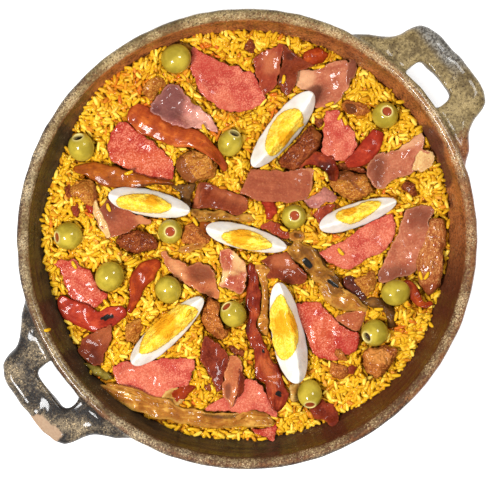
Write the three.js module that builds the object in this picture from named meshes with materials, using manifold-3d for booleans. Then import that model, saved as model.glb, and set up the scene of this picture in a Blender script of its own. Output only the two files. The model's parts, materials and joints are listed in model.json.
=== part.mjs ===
// A rice platter in its earthenware dish: saffron rice under egg wedges, stuffed olives, sliced sausage, ham,
// strips of pepper and pieces of fried meat. Millimetres, +Z up.
// The dish stands on z = 0, centred on the Z axis, with its two loop handles along +X and -X.
import * as THREE from "three";
import { mergeVertices } from "three/addons/utils/BufferGeometryUtils.js";
import Module from "manifold-3d";

const wasm = await Module();
wasm.setup();

// ---------------------------------------------------------------- driving dimensions

const RIM_RADIUS = 148; // outermost point of the rolled rim
const RIM_HEIGHT = 70;
const FOOT_RADIUS = 102;
const FLOOR_THICKNESS = 8;
const DISH_SEGMENTS = 60;

const HANDLE_REACH = 180.5; // from the dish's axis to the outer face of a handle
const HANDLE_LOW = 52; // underside of the handles
const HANDLE_THICKNESS = 15;
const HANDLE_ROUNDING = 5;
const HANDLE_TURN = 1.3; // degrees: both handles sit a little towards +Y
const HANDLE_HOLE = { near: 144, far: 161, halfWidth: 16, corner: 5 };
// Half of a handle's outline from above, from its root in the wall to its outer face, before the edge is rounded outwards.
const HANDLE_FLANK = [[138, 52], [145, 43], [152.5, 35], [161.5, 31.2], [170, 29.6], [174.6, 22], [HANDLE_REACH - HANDLE_ROUNDING, 8]];

const FOOD_TURN = THREE.MathUtils.degToRad(-39.1); // the food's own axes against the handles
const RICE_LEVEL = 44;
const RICE_MOUND = 1.6; // slow rise and fall of the rice
const RICE_WAVES = { x: 31, y: 27, both: 17 }; // length of that rise and fall each way, for one radian
const TIDE_BLEND = 26; // the rice turns towards the wall over this width
const GRAIN_BUMP = 1.1; // relief of the grains
const GRAIN_PITCH = 5; // distance between two bumps
const GAP = 0.35; // between pieces that touch

// The line where the rice meets the wall, as a radius at equal steps from +X of the food's axes.
const TIDE_RADII = [133.2, 134.2, 134.6, 134, 135.4, 136.6, 136.2, 132.6, 133.2, 131.2, 133.6, 133.8, 131, 129.8, 132.8, 131.2];

// Inner and outer half of the dish's section, as [radius, height].
const DISH_OUTSIDE = [
  [0, 0], [FOOT_RADIUS, 0], [FOOT_RADIUS + 6, 2.5], [118, 10], [128, 22], [136, 34.5], [141.5, 47], [144.6, 57],
  [147, 63.2], [RIM_RADIUS, 66.6], [146.9, 69.2], [144.4, RIM_HEIGHT],
];
const DISH_INSIDE = [
  [0, FLOOR_THICKNESS], [96, 8.8], [109, 13.5], [120, 23], [127.5, 34], [132.5, 44], [136, 52], [138.8, 60],
  [140.2, 66.4], [142, 69.2],
];

// ---------------------------------------------------------------- the pieces on the rice
// Places are [x, y] in the food's own axes.

const EGG_WEDGES = [
  { name: "egg_wedge_1", centre: [-63.5, 23.5], length: 54, width: 19.5, turn: -11, lean: 6, blunt: -1 },
  { name: "egg_wedge_2", centre: [23, 71], length: 62, width: 22, turn: 51, lean: 9, blunt: 1 },
  { name: "egg_wedge_3", centre: [72, 16], length: 53, width: 17.5, turn: 19, lean: 4, blunt: -1 },
  { name: "egg_wedge_4", centre: [-0.5, 0.8], length: 54, width: 17.5, turn: -14, lean: 7, blunt: -1 },
  { name: "egg_wedge_5", centre: [-51.5, -59.5], length: 63, width: 20.5, turn: 43, lean: -6, blunt: -1 },
  { name: "egg_wedge_6", centre: [26.5, -61], length: 67, width: 24, turn: -79, lean: -7, blunt: 1 },
];

// faces: the way the stoned end points, as [x, y, z]; sunk: how deep the olive sits in the rice.
const OLIVES = [
  { name: "olive_1", centre: [-46, 117], width: 19, length: 20, faces: [0.8, 0.5, -0.5], sunk: 5 },
  { name: "olive_2", centre: [-108, 59.5], width: 17, length: 19.5, faces: [-0.2, 0.9, 0.42], sunk: 5 },
  { name: "olive_3", centre: [-11, 62.5], width: 16, length: 19, faces: [0.4, 0.85, 0.4], sunk: 5 },
  { name: "olive_4", centre: [-116.5, 2], width: 18, length: 19, faces: [-0.8, -0.1, 0.5], sunk: 5.5 },
  { name: "olive_5", centre: [-50.2, 4.8], width: 16, length: 17, faces: [0.05, 0, 1], sunk: 4.5 },
  { name: "olive_6", centre: [30.5, 14.5], width: 16, length: 17, faces: [0.05, 0.1, 1], sunk: 5 },
  { name: "olive_7", centre: [90, 80.5], width: 17, length: 18, faces: [0.1, 0.3, 1], sunk: 5.5 },
  { name: "olive_8", centre: [-89.7, -24.5], width: 18.5, length: 20.5, faces: [-0.5, -0.8, -0.4], sunk: 5 },
  { name: "olive_9", centre: [-51.3, -33], width: 17, length: 18.5, faces: [0.3, -0.9, -0.4], sunk: 5 },
  { name: "olive_10", centre: [-9, -49], width: 16.5, length: 18.5, faces: [-0.6, 0.7, 0.55], sunk: 5 },
  { name: "olive_11", centre: [97, -35], width: 17, length: 19.5, faces: [0.9, 0.2, -0.4], sunk: 5 },
  { name: "olive_12", centre: [83.5, -61], width: 17.5, length: 18, faces: [-0.85, -0.4, 0.35], sunk: 5 },
  { name: "olive_13", centre: [41, -101], width: 16, length: 20, faces: [0, -0.8, 0.6], sunk: 5.5 },
];

// Lumps: rounded pieces of fried meat, each an outline with a height.
const LUMPS = [
  { name: "fried_meat_1", height: 11, outline: [[30, 71], [41, 74], [50, 66], [44, 55], [30, 45], [20, 52], [24, 62]] },
  { name: "fried_meat_2", height: 9, outline: [[-45, 53], [-31, 59], [-20, 53], [-21, 42], [-36, 37], [-46, 44]] },
  { name: "fried_meat_3", height: 8, outline: [[53, 42], [68, 44], [82, 38], [83, 30], [72, 25], [57, 31]] },
  { name: "fried_meat_4", height: 8, outline: [[-86, 0], [-72, 6], [-60, 1], [-59, -5], [-76, -9]] },
  { name: "fried_meat_5", height: 10, outline: [[-27, -38], [-19, -40], [-12, -57], [-14, -66], [-22, -64], [-29, -54]] },
  { name: "fried_meat_6", height: 10, outline: [[77, -72], [88, -70], [97, -71], [95, -81], [85, -91], [76, -82]] },
  { name: "fried_meat_7", height: 9, outline: [[118, 12], [127, 16], [130, 6], [128, -14], [126, -32], [118, -38], [112, -28], [111, -8]] },
];

// Strips: a centre line with its width at equal steps along it.
const STRIPS = [
  { name: "pepper_1", kind: "pepper", line: [[-77, 82], [-58, 73], [-38, 66], [-24, 60], [-14, 44]], widths: [9, 14, 13, 8, 6] },
  { name: "pepper_2", kind: "onion", line: [[-114, 43], [-96, 43], [-72, 38.5], [-48, 36]], widths: [6, 14, 9, 5] },
  { name: "pepper_3", kind: "pepper", line: [[85, 70], [80, 60], [72, 50]], widths: [9, 15, 12] },
  { name: "pepper_4", kind: "pepper", line: [[49, 51], [55, 48], [58, 43], [56, 37]], widths: [5, 7, 6, 4] },
  { name: "pepper_5", kind: "pepper", line: [[-123, -42], [-110, -50], [-97, -55], [-82, -48]], widths: [9, 15, 14, 6] },
  { name: "pepper_6", kind: "pepper", line: [[-60, -13], [-65, -22], [-71, -34], [-77, -48]], widths: [6, 11, 8, 4] },
  { name: "pepper_7", kind: "pepper", line: [[1, -17], [4, -38], [3, -58], [8, -76], [13, -96], [20, -112]], widths: [8, 12, 10, 12, 16, 10] },
  { name: "pepper_8", kind: "pepper", line: [[103, -26], [110, -42], [116, -46], [121, -38]], widths: [5, 7, 7, 5] },
  { name: "onion_1", kind: "onion", line: [[-96, -94], [-80, -104], [-56, -114], [-30, -118.5], [-4, -119.5], [17, -120]], widths: [8, 12, 13, 11, 11, 8] },
  { name: "onion_2", kind: "onion", line: [[33, -9], [46, -21], [61, -32], [78, -46]], widths: [10, 14, 13, 7] },
];

// Slices: an outline laid over whatever is beneath it.
const SLICES = [
  { name: "ham_6", kind: "ham", outline: [[-97, 19], [-86, 18], [-72, 12], [-63, 10], [-76, 6], [-86, 1], [-94, 8]] },
  { name: "salami_1", kind: "salami", outline: [[-36, 123], [-20, 118], [-4, 112], [8, 102], [10, 91], [0, 83], [-14, 84], [-29, 93], [-37, 108]] },
  { name: "salami_2", kind: "salami", outline: [[-84, 77], [-73, 71], [-58, 58], [-49, 49], [-50, 39], [-68, 41], [-88, 50], [-88, 66]] },
  { name: "salami_3", kind: "salami", outline: [[52, 84], [61, 83], [68, 70], [72, 59], [62, 52.5], [51, 55], [50, 70]] },
  { name: "salami_4", kind: "salami", outline: [[48, -9], [60, -2], [74, 5], [89, 12], [95, 8], [92, -4], [82, -13], [66, -19], [54, -16]] },
  { name: "salami_5", kind: "salami", outline: [[-124, -18], [-117, -12], [-106, -19], [-95, -32], [-90, -39], [-99, -45], [-112, -39], [-121, -28]] },
  { name: "salami_6", kind: "salami", outline: [[-87, -85], [-72, -80], [-55, -79], [-40, -78], [-34, -84], [-41, -95], [-60, -106], [-75, -101]] },
  { name: "salami_7", kind: "salami", outline: [[40, -41], [50, -45], [60, -56], [71, -61], [71, -71], [60, -79], [48, -76], [42, -66], [36, -50]] },
  { name: "salami_8", kind: "salami", outline: [[-28, -111], [-15, -100], [-4, -90], [5, -94], [13, -104], [18, -115], [4, -112], [-12, -113]] },
  { name: "ham_1", kind: "ham", outline: [[31, 109], [45, 110], [58, 115], [71, 117], [69, 105], [62, 93], [49, 90], [41, 96], [31, 103]] },
  { name: "ham_17", kind: "ham", outline: [[5, 119], [20, 126], [32, 117], [38, 110], [27, 102], [20, 98], [11, 98], [6, 108]] },
  { name: "ham_3", kind: "ham", outline: [[-63, 84], [-54, 97], [-46, 100], [-37, 91], [-26, 82], [-22, 74], [-40, 73], [-56, 78]] },
  { name: "ham_2", kind: "ham", outline: [[2, 45], [20, 43.5], [42, 44.5], [43, 35], [35, 28], [20, 25], [2, 26], [-4, 33]] },
  { name: "ham_13", kind: "ham", outline: [[-36, 22], [-31, 33], [-14, 31], [-5, 26], [-6, 17], [-18, 17], [-30, 18]] },
  { name: "ham_14", kind: "ham", outline: [[100, 60], [113, 68], [119, 55], [112, 46], [99, 40], [84, 35], [79, 45], [86, 52]] },
  { name: "ham_5", kind: "ham", outline: [[106, 20], [119, 21], [117, 8], [109, -5], [106, -16], [96, -22], [88, -24], [90, -12], [100, 4]] },
  { name: "ham_7", kind: "ham", outline: [[-57, -9], [-46, -13], [-32, -15], [-22, -19], [-20, -30], [-27, -36], [-39, -29], [-50, -20]] },
  { name: "ham_8", kind: "ham", outline: [[-16, -9], [-8, -10], [-1, -15], [-2, -27], [-3, -36], [-14, -33], [-17, -22]] },
  { name: "ham_11", kind: "ham", outline: [[12, -13], [24, -11], [33, -18], [40, -26], [33, -30], [22, -25], [13, -22]] },
  { name: "ham_9", kind: "ham", outline: [[-27, -66], [-18, -71], [-12, -78], [-13, -90], [-18, -98], [-25, -88], [-30, -77]] },
  { name: "ham_4", kind: "ham", outline: [[-7, -76], [-3, -81], [-4, -92], [-6, -105], [-12, -107], [-13.5, -96], [-10, -84]] },
  { name: "ham_10", kind: "ham", outline: [[-102, -62], [-92, -61], [-89, -67], [-95, -79], [-104, -80], [-111, -73], [-107, -65]] },
];

// Small toppings, too small for solids of their own, stand up from the rice: [x, y, radius, height].
const SMALL_TOPPINGS = [
  [10, -127, 8, 2.4], [52, -112, 8, 3], [68, -31, 7, 3], [48, 119, 7, 3], [-97, -86, 7, 3], [-38, -6, 7, 2.6],
  [-108, 31, 8, 4.5], [-61, 98, 8, 4.5], [-36, 3, 7, 4], [-74, -60, 6.5, 4.5], [78, -29, 7, 4.5], [60, -84, 6.5, 3.6],
  [72, 85, 8, 4], [107, 33, 6, 4], [48, 25, 7, 3.4], [14, 17, 6, 3], [17, 4, 6, 2.6], [-50, -102, 7, 3.4], [2, 126, 5, 3],
];

const KINDS = {
  salami: { thickness: 2.0, wave: 0.5, colour: 0xcf5443, roughness: 0.45 },
  ham: { thickness: 2.0, wave: 1.0, colour: 0xa85a48, roughness: 0.4 },
  pepper: { thickness: 3.4, wave: 0.5, colour: 0xbf3a1e, roughness: 0.3 },
  onion: { thickness: 3.2, wave: 0.5, colour: 0x9a6a30, roughness: 0.35 },
};

const SEED = 20240611;

// ---------------------------------------------------------------- small tools

// Seeded random numbers between 0 and 1, the same on every run.
function randomNumbers(seed) {
  let state = seed >>> 0;
  return () => {
    state = (state + 0x6d2b79f5) >>> 0;
    let t = state;
    t = Math.imul(t ^ (t >>> 15), t | 1);
    t ^= t + Math.imul(t ^ (t >>> 7), t | 61);
    return ((t ^ (t >>> 14)) >>> 0) / 4294967296;
  };
}
const random = randomNumbers(SEED);
const spread = (amount) => (random() * 2 - 1) * amount;

const clamp = THREE.MathUtils.clamp;

function geometryOf(points, triangles) {
  const geometry = new THREE.BufferGeometry();
  geometry.setAttribute("position", new THREE.Float32BufferAttribute(points.flat(), 3));
  geometry.setIndex(triangles.flat());
  geometry.computeVertexNormals();
  return geometry;
}

// A closed geometry as a manifold-3d solid, and back.
function solidOf(geometry) {
  const plain = geometry.clone();
  plain.deleteAttribute("normal");
  plain.deleteAttribute("uv");
  const merged = mergeVertices(plain, 1e-3);
  return new wasm.Manifold(
    new wasm.Mesh({
      numProp: 3,
      vertProperties: new Float32Array(merged.attributes.position.array),
      triVerts: new Uint32Array(merged.index.array),
    }),
  );
}

function geometryFrom(solid) {
  const mesh = solid.getMesh();
  const geometry = new THREE.BufferGeometry();
  geometry.setAttribute("position", new THREE.BufferAttribute(new Float32Array(mesh.vertProperties), 3));
  geometry.setIndex(new THREE.BufferAttribute(new Uint32Array(mesh.triVerts), 1));
  geometry.computeVertexNormals();
  return geometry;
}

// Triangles between an outer and an inner ring of vertex numbers, both turning anticlockwise.
function zipRings(outer, inner) {
  const triangles = [];
  let i = 0;
  let j = 0;
  while (i < outer.length || j < inner.length) {
    const outerNext = i < outer.length && (j >= inner.length || (i + 1) / outer.length <= (j + 1) / inner.length);
    const a = outer[i % outer.length];
    const b = inner[j % inner.length];
    if (outerNext) {
      triangles.push([a, outer[(i + 1) % outer.length], b]);
      i += 1;
    } else {
      triangles.push([a, inner[(j + 1) % inner.length], b]);
      j += 1;
    }
  }
  return triangles;
}

const ringNumbers = (start, count) => Array.from({ length: count }, (_, i) => start + i);

function smoothLoop(points, count) {
  const curve = new THREE.CatmullRomCurve3(points.map(([x, y]) => new THREE.Vector3(x, y, 0)), true, "centripetal");
  return curve.getSpacedPoints(count).slice(0, count).map((p) => [p.x, p.y]);
}

function anticlockwise(points) {
  const area = points.reduce((sum, [x, y], i) => {
    const [nextX, nextY] = points[(i + 1) % points.length];
    return sum + x * nextY - nextX * y;
  }, 0);
  return area > 0 ? points : points.slice().reverse();
}

// Radius of the dish's inner wall at a height.
function wallRadius(z) {
  for (let i = 1; i < DISH_INSIDE.length; i += 1) {
    const [r0, z0] = DISH_INSIDE[i - 1];
    const [r1, z1] = DISH_INSIDE[i];
    if (z <= z1) return r0 + ((r1 - r0) * Math.max(z - z0, 0)) / (z1 - z0);
  }
  return DISH_INSIDE.at(-1)[0];
}

// Height at which the dish's inner wall has a radius.
function wallHeight(radius) {
  for (let i = 1; i < DISH_INSIDE.length; i += 1) {
    const [r0, z0] = DISH_INSIDE[i - 1];
    const [r1, z1] = DISH_INSIDE[i];
    if (radius <= r1) return z0 + ((z1 - z0) * Math.max(radius - r0, 0)) / (r1 - r0);
  }
  return RIM_HEIGHT;
}

// ---------------------------------------------------------------- dish

const FLANK_STEPS = 22;
const ROOT_STEPS = 5;

// The D of a handle, as drawn from above, before its edge is rounded outwards; its flanks flare into the rim.
function handleOutline() {
  const mirrored = HANDLE_FLANK.slice().reverse().map(([x, y]) => [x, -y]);
  const flank = new THREE.SplineCurve([...HANDLE_FLANK, ...mirrored].map(([x, y]) => new THREE.Vector2(x, y)));
  const rootRadius = Math.hypot(...HANDLE_FLANK[0]);
  const rootAngle = Math.atan2(HANDLE_FLANK[0][1], HANDLE_FLANK[0][0]);
  const root = Array.from({ length: ROOT_STEPS - 1 }, (_, i) => {
    const angle = rootAngle * ((2 * (i + 1)) / ROOT_STEPS - 1);
    return new THREE.Vector2(rootRadius * Math.cos(angle), rootRadius * Math.sin(angle));
  });
  return new THREE.Shape([...flank.getPoints(FLANK_STEPS), ...root]);
}

// The gap for the fingers, with rounded corners on its far side.
function handleHole() {
  const { near, far, halfWidth, corner } = HANDLE_HOLE;
  const hole = new THREE.Shape();
  hole.moveTo(near, -halfWidth);
  hole.lineTo(far - corner, -halfWidth);
  hole.quadraticCurveTo(far, -halfWidth, far, corner - halfWidth);
  hole.lineTo(far, halfWidth - corner);
  hole.quadraticCurveTo(far, halfWidth, far - corner, halfWidth);
  hole.lineTo(near, halfWidth);
  return hole;
}

// A loop handle: a flat D with a rounded edge, cut through for the fingers.
function handleSolid() {
  const plate = new THREE.ExtrudeGeometry(handleOutline(), {
    depth: HANDLE_THICKNESS - 2 * HANDLE_ROUNDING,
    bevelSize: HANDLE_ROUNDING,
    bevelThickness: HANDLE_ROUNDING,
    bevelSegments: 2,
  });
  const through = HANDLE_THICKNESS * 3;
  const finger = new THREE.ExtrudeGeometry(handleHole(), { depth: through, bevelEnabled: false, curveSegments: 3 });
  return solidOf(plate)
    .subtract(solidOf(finger).translate([0, 0, -through / 2]))
    .translate([0, 0, HANDLE_LOW + HANDLE_ROUNDING]);
}

function makeDish() {
  const profile = DISH_OUTSIDE.concat(DISH_INSIDE.slice().reverse()).map(([r, z]) => new THREE.Vector2(r, z));
  const turned = new THREE.LatheGeometry(profile, DISH_SEGMENTS).rotateX(Math.PI / 2);
  const bowl = solidOf(turned);
  const handle = handleSolid().rotate([0, 0, HANDLE_TURN]);
  return geometryFrom(bowl.add(handle).add(handle.mirror([1, 0, 0])));
}

// ---------------------------------------------------------------- what lies on what

// Highest tops and lowest undersides of the pieces laid so far, on a square grid of cells.
const CELL = 1;
const MAP_HALF = 142;
const MAP_SIDE = Math.round((2 * MAP_HALF) / CELL) + 1;
const tops = new Float64Array(MAP_SIDE * MAP_SIDE).fill(-Infinity);
const undersides = new Float64Array(MAP_SIDE * MAP_SIDE).fill(Infinity);
const EDGE_REACH = 0.75; // a finished piece also covers the cells this near to it
const TEST_REACH = 0.5; // a new piece is tested this far past its own edge

// Calls visit(cell, height, weights) for each cell under a triangle or within reach of it.
function overCells([a, b, c], reach, visit) {
  const twiceArea = (b[0] - a[0]) * (c[1] - a[1]) - (c[0] - a[0]) * (b[1] - a[1]);
  if (Math.abs(twiceArea) < 1e-6) return;
  const corners = [a, b, c];
  const slack = corners.map((_, i) => {
    const p = corners[(i + 1) % 3];
    const q = corners[(i + 2) % 3];
    return (reach * Math.hypot(q[0] - p[0], q[1] - p[1])) / Math.abs(twiceArea);
  });
  const xs = corners.map((p) => p[0]);
  const ys = corners.map((p) => p[1]);
  const low = Math.min(a[2], b[2], c[2]);
  const high = Math.max(a[2], b[2], c[2]);
  const first = (v) => Math.max(0, Math.ceil((v - reach + MAP_HALF) / CELL));
  const last = (v) => Math.min(MAP_SIDE - 1, Math.floor((v + reach + MAP_HALF) / CELL));
  for (let row = first(Math.min(...ys)); row <= last(Math.max(...ys)); row += 1) {
    for (let column = first(Math.min(...xs)); column <= last(Math.max(...xs)); column += 1) {
      const x = column * CELL - MAP_HALF;
      const y = row * CELL - MAP_HALF;
      const wb = ((x - a[0]) * (c[1] - a[1]) - (c[0] - a[0]) * (y - a[1])) / twiceArea;
      const wc = ((b[0] - a[0]) * (y - a[1]) - (x - a[0]) * (b[1] - a[1])) / twiceArea;
      const wa = 1 - wb - wc;
      if (wa < -slack[0] || wb < -slack[1] || wc < -slack[2]) continue;
      const height = clamp(wa * a[2] + wb * b[2] + wc * c[2], low, high);
      visit(row * MAP_SIDE + column, height, [clamp(wa, 0, 1), clamp(wb, 0, 1), clamp(wc, 0, 1)]);
    }
  }
}

// The egg or olive that stands on each cell, as the two ends of its middle line.
const standing = new Array(MAP_SIDE * MAP_SIDE);

// Notes where a finished piece lies.
function enterPiece({ points, triangles, middleLine }) {
  for (const triangle of triangles) {
    overCells(triangle.map((i) => points[i]), EDGE_REACH, (cell, height) => {
      tops[cell] = Math.max(tops[cell], height);
      undersides[cell] = Math.min(undersides[cell], height);
      if (middleLine) standing[cell] = middleLine;
    });
  }
}

const ASIDE_ROUNDS = 80;
const ASIDE_STEP = 0.25;

// Moves the places of a flat piece sideways until no triangle of it runs over an egg or an olive.
function besideStanding(places, triangles) {
  const spots = places.map(([x, y]) => [x, y, 0]);
  for (let round = 0; round < ASIDE_ROUNDS; round += 1) {
    let moved = false;
    for (const triangle of triangles) {
      const corners = triangle.map((i) => spots[i]);
      overCells(corners, TEST_REACH, (cell, _, weights) => {
        if (!standing[cell]) return;
        moved = true;
        const [from, to] = standing[cell];
        corners.forEach((corner, k) => {
          const run = [to[0] - from[0], to[1] - from[1]];
          const along = (corner[0] - from[0]) * run[0] + (corner[1] - from[1]) * run[1];
          const share = clamp(along / Math.max(run[0] ** 2 + run[1] ** 2, 1e-6), 0, 1);
          const away = [corner[0] - from[0] - share * run[0], corner[1] - from[1] - share * run[1]];
          const length = Math.max(Math.hypot(...away), 1e-6);
          corner[0] += (ASIDE_STEP * weights[k] * away[0]) / length;
          corner[1] += (ASIDE_STEP * weights[k] * away[1]) / length;
        });
      });
    }
    if (!moved) break;
  }
  return spots.map(([x, y]) => [x, y]);
}

const CLEAR_ROUNDS = 60;
const CLEAR_ENOUGH = 0.02;

// Moves the vertices of a surface until it clears a map of heights: up (side 1) or down (side -1).
function clearSurface(points, triangles, map, side) {
  for (let round = 0; round < CLEAR_ROUNDS; round += 1) {
    let worst = 0;
    for (const triangle of triangles) {
      const corners = triangle.map((i) => points[i]);
      overCells(corners, TEST_REACH, (cell, _, weights) => {
        const surface = weights.reduce((sum, w, k) => sum + w * corners[k][2], 0) / weights.reduce((sum, w) => sum + w, 0);
        const short = side * (map[cell] + side * GAP - surface);
        if (!(short > 0) || !Number.isFinite(short)) return;
        worst = Math.max(worst, short);
        const total = weights.reduce((sum, w) => sum + w * w, 0);
        corners.forEach((corner, k) => {
          corner[2] += (side * short * weights[k]) / total;
        });
      });
    }
    if (worst < CLEAR_ENOUGH) return;
  }
}

// The bare rice's height at a place, before the grains and the pieces press into it.
function tideRadius(angle) {
  const steps = TIDE_RADII.length;
  const at = (((angle / (2 * Math.PI)) % 1) + 1) % 1 * steps;
  const i = Math.floor(at);
  const blend = (1 - Math.cos((at - i) * Math.PI)) / 2;
  return TIDE_RADII[i % steps] * (1 - blend) + TIDE_RADII[(i + 1) % steps] * blend;
}

function riceHeight(x, y) {
  const radius = Math.hypot(x, y);
  const tide = tideRadius(Math.atan2(y, x));
  const slow = Math.sin(x / RICE_WAVES.x + 0.6) * Math.cos(y / RICE_WAVES.y - 0.4);
  const mound = RICE_MOUND * (slow + 0.5 * Math.sin((x + y) / RICE_WAVES.both));
  const wallBlend = THREE.MathUtils.smoothstep(radius, tide - TIDE_BLEND, tide);
  return (RICE_LEVEL + mound) * (1 - wallBlend) + wallHeight(tide) * wallBlend;
}

// ---------------------------------------------------------------- egg wedges

const EGG_STATIONS = 9;
const EGG_ARC = 3; // points along the outer white, between the two cut edges
const EGG_HALF_ANGLE = THREE.MathUtils.degToRad(33);

const EGG_POWER = 2.2; // how full the ends are: 2 is an ellipse
const EGG_TAPER = 0.13; // how much fuller the blunt end is
const EGG_FACE_SHARE = 0.55; // where each cut face has its middle row of points
const EGG_TIP_DROP = 0.12; // the tips lie below the ridge by this share of the radius
const EGG_SETTLE = 0.6; // the cut edges lie this far below the rice

// Half the egg's width at a place from end to end (-1 to 1).
const eggProfile = (u, blunt) => Math.sqrt(Math.max(0, 1 - Math.abs(u) ** EGG_POWER)) * (1 + EGG_TAPER * blunt * u);

// A wedge cut lengthwise, lying on its outer white with the sharp edge of the yolk side up.
function eggWedge({ centre, length, width, turn, lean, blunt }) {
  const radius = width / 2 / Math.sin(EGG_HALF_ANGLE);
  const tilt = THREE.MathUtils.degToRad(lean);
  const middle = Math.cos(EGG_HALF_ANGLE) * Math.sin(tilt); // of the two cut edges, seen from above
  const points = [];
  const rings = [];
  for (let s = 1; s <= EGG_STATIONS; s += 1) {
    const u = -Math.cos((Math.PI * s) / (EGG_STATIONS + 1));
    const r = radius * eggProfile(u, blunt);
    const section = [[0, 0], [EGG_FACE_SHARE, EGG_HALF_ANGLE]];
    for (let k = 0; k <= EGG_ARC + 1; k += 1) section.push([1, EGG_HALF_ANGLE * (1 - (2 * k) / (EGG_ARC + 1))]);
    section.push([EGG_FACE_SHARE, -EGG_HALF_ANGLE]);
    rings.push(ringNumbers(points.length, section.length));
    for (const [share, angle] of section) {
      const across = r * (share * Math.sin(angle + tilt) - middle);
      points.push([(u * length) / 2, across, -r * share * Math.cos(angle + tilt)]);
    }
  }
  const count = rings[0].length;
  const triangles = [];
  rings.slice(1).forEach((ring, k) => {
    const before = rings[k];
    for (let i = 0; i < count; i += 1) {
      const j = (i + 1) % count;
      triangles.push([before[i], ring[i], ring[j]], [before[i], ring[j], before[j]]);
    }
  });
  const tips = [points.length, points.length + 1];
  points.push([-length / 2, 0, -radius * EGG_TIP_DROP], [length / 2, 0, -radius * EGG_TIP_DROP]);
  for (let i = 0; i < count; i += 1) {
    const j = (i + 1) % count;
    triangles.push([tips[0], rings[0][i], rings[0][j]], [tips[1], rings.at(-1)[j], rings.at(-1)[i]]);
  }
  const angle = THREE.MathUtils.degToRad(turn);
  const ridge = riceHeight(...centre) + radius * Math.cos(EGG_HALF_ANGLE) - EGG_SETTLE;
  const placed = points.map(([x, y, z]) => [
    centre[0] + x * Math.cos(angle) - y * Math.sin(angle),
    centre[1] + x * Math.sin(angle) + y * Math.cos(angle),
    ridge + z,
  ]);
  const reach = (length - width) / 2; // the middle line stops half a width short of each tip
  const middleLine = [-reach, reach].map((x) => [centre[0] + x * Math.cos(angle), centre[1] + x * Math.sin(angle)]);
  return { points: placed, triangles, middleLine };
}

// ---------------------------------------------------------------- olives

const OLIVE_SEGMENTS = 8;
const STONE_HOLE_RADIUS = 3.7;
const STUFFING_DEPTH = 0.9; // the stuffing lies this far inside the hole
const STUFFING_GAP = 0.6; // between its edge and the hole's
const OLIVE_LATITUDES = [-52, -20, 12, 40];

function olive({ centre, width, length, faces, sunk }) {
  const a = width / 2;
  const b = length / 2;
  const rim = b * Math.sqrt(1 - (STONE_HOLE_RADIUS / a) ** 2);
  const profile = [[0, -b]];
  for (const degrees of OLIVE_LATITUDES) {
    const angle = THREE.MathUtils.degToRad(degrees);
    profile.push([a * Math.cos(angle), b * Math.sin(angle)]);
  }
  profile.push([STONE_HOLE_RADIUS, rim], [STONE_HOLE_RADIUS - STUFFING_GAP, rim - STUFFING_DEPTH], [0, rim - STUFFING_DEPTH * 0.6]);
  const points = [[0, 0, profile[0][1]]];
  const rings = profile.slice(1, -1).map(([r, z]) => {
    const start = points.length;
    for (let i = 0; i < OLIVE_SEGMENTS; i += 1) {
      const angle = (2 * Math.PI * i) / OLIVE_SEGMENTS;
      points.push([r * Math.cos(angle), r * Math.sin(angle), z]);
    }
    return ringNumbers(start, OLIVE_SEGMENTS);
  });
  const top = points.length;
  points.push([0, 0, profile.at(-1)[1]]);
  const triangles = [];
  for (let i = 0; i < OLIVE_SEGMENTS; i += 1) {
    const j = (i + 1) % OLIVE_SEGMENTS;
    triangles.push([0, rings[0][j], rings[0][i]], [top, rings.at(-1)[i], rings.at(-1)[j]]);
    rings.slice(1).forEach((ring, k) => {
      triangles.push([rings[k][i], rings[k][j], ring[j]], [rings[k][i], ring[j], ring[i]]);
    });
  }
  const turn = new THREE.Quaternion().setFromUnitVectors(new THREE.Vector3(0, 0, 1), new THREE.Vector3(...faces).normalize());
  const turned = points.map((p) => new THREE.Vector3(...p).applyQuaternion(turn));
  const lowest = Math.min(...turned.map((p) => p.z));
  const lift = riceHeight(...centre) - sunk - lowest;
  const points3 = turned.map((p) => [p.x + centre[0], p.y + centre[1], p.z + lift]);
  return { points: points3, triangles, middleLine: [centre, centre] };
}

// ---------------------------------------------------------------- lumps, slices and strips

const KEEP_CLEAR = { egg: 1.3, olive: 0.9 }; // flat pieces end this far from them

// Moves a place out of the eggs and olives, seen from above.
function outOfTheWay([x, y]) {
  let place = [x, y];
  for (const { centre, length, width, turn, blunt } of EGG_WEDGES) {
    place = outOfFootprint(place, centre, length / 2 + KEEP_CLEAR.egg, width / 2 + KEEP_CLEAR.egg, turn, blunt);
  }
  for (const { centre, width, length } of OLIVES) {
    const radius = Math.max(width, length) / 2 + KEEP_CLEAR.olive;
    place = outOfFootprint(place, centre, radius, radius, 0, 0);
  }
  return place;
}

// Moves a place out of one egg's footprint, or with blunt 0 out of a circle.
function outOfFootprint([x, y], centre, halfLength, halfWidth, turn, blunt) {
  const angle = THREE.MathUtils.degToRad(turn);
  const along = ((x - centre[0]) * Math.cos(angle) + (y - centre[1]) * Math.sin(angle)) / halfLength;
  const across = (-(x - centre[0]) * Math.sin(angle) + (y - centre[1]) * Math.cos(angle)) / halfWidth;
  const fullness = 1 + EGG_TAPER * blunt * clamp(along, -1, 1);
  const power = blunt === 0 ? 2 : EGG_POWER;
  const share = (Math.abs(along) ** power + (across / fullness) ** 2) ** (1 / power);
  if (share >= 1 || share < 1e-6) return [x, y];
  const a = (along / share) * halfLength;
  const b = (across / share) * halfWidth;
  return [centre[0] + a * Math.cos(angle) - b * Math.sin(angle), centre[1] + a * Math.sin(angle) + b * Math.cos(angle)];
}

const MIDDLE_SAMPLES = 40;

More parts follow.
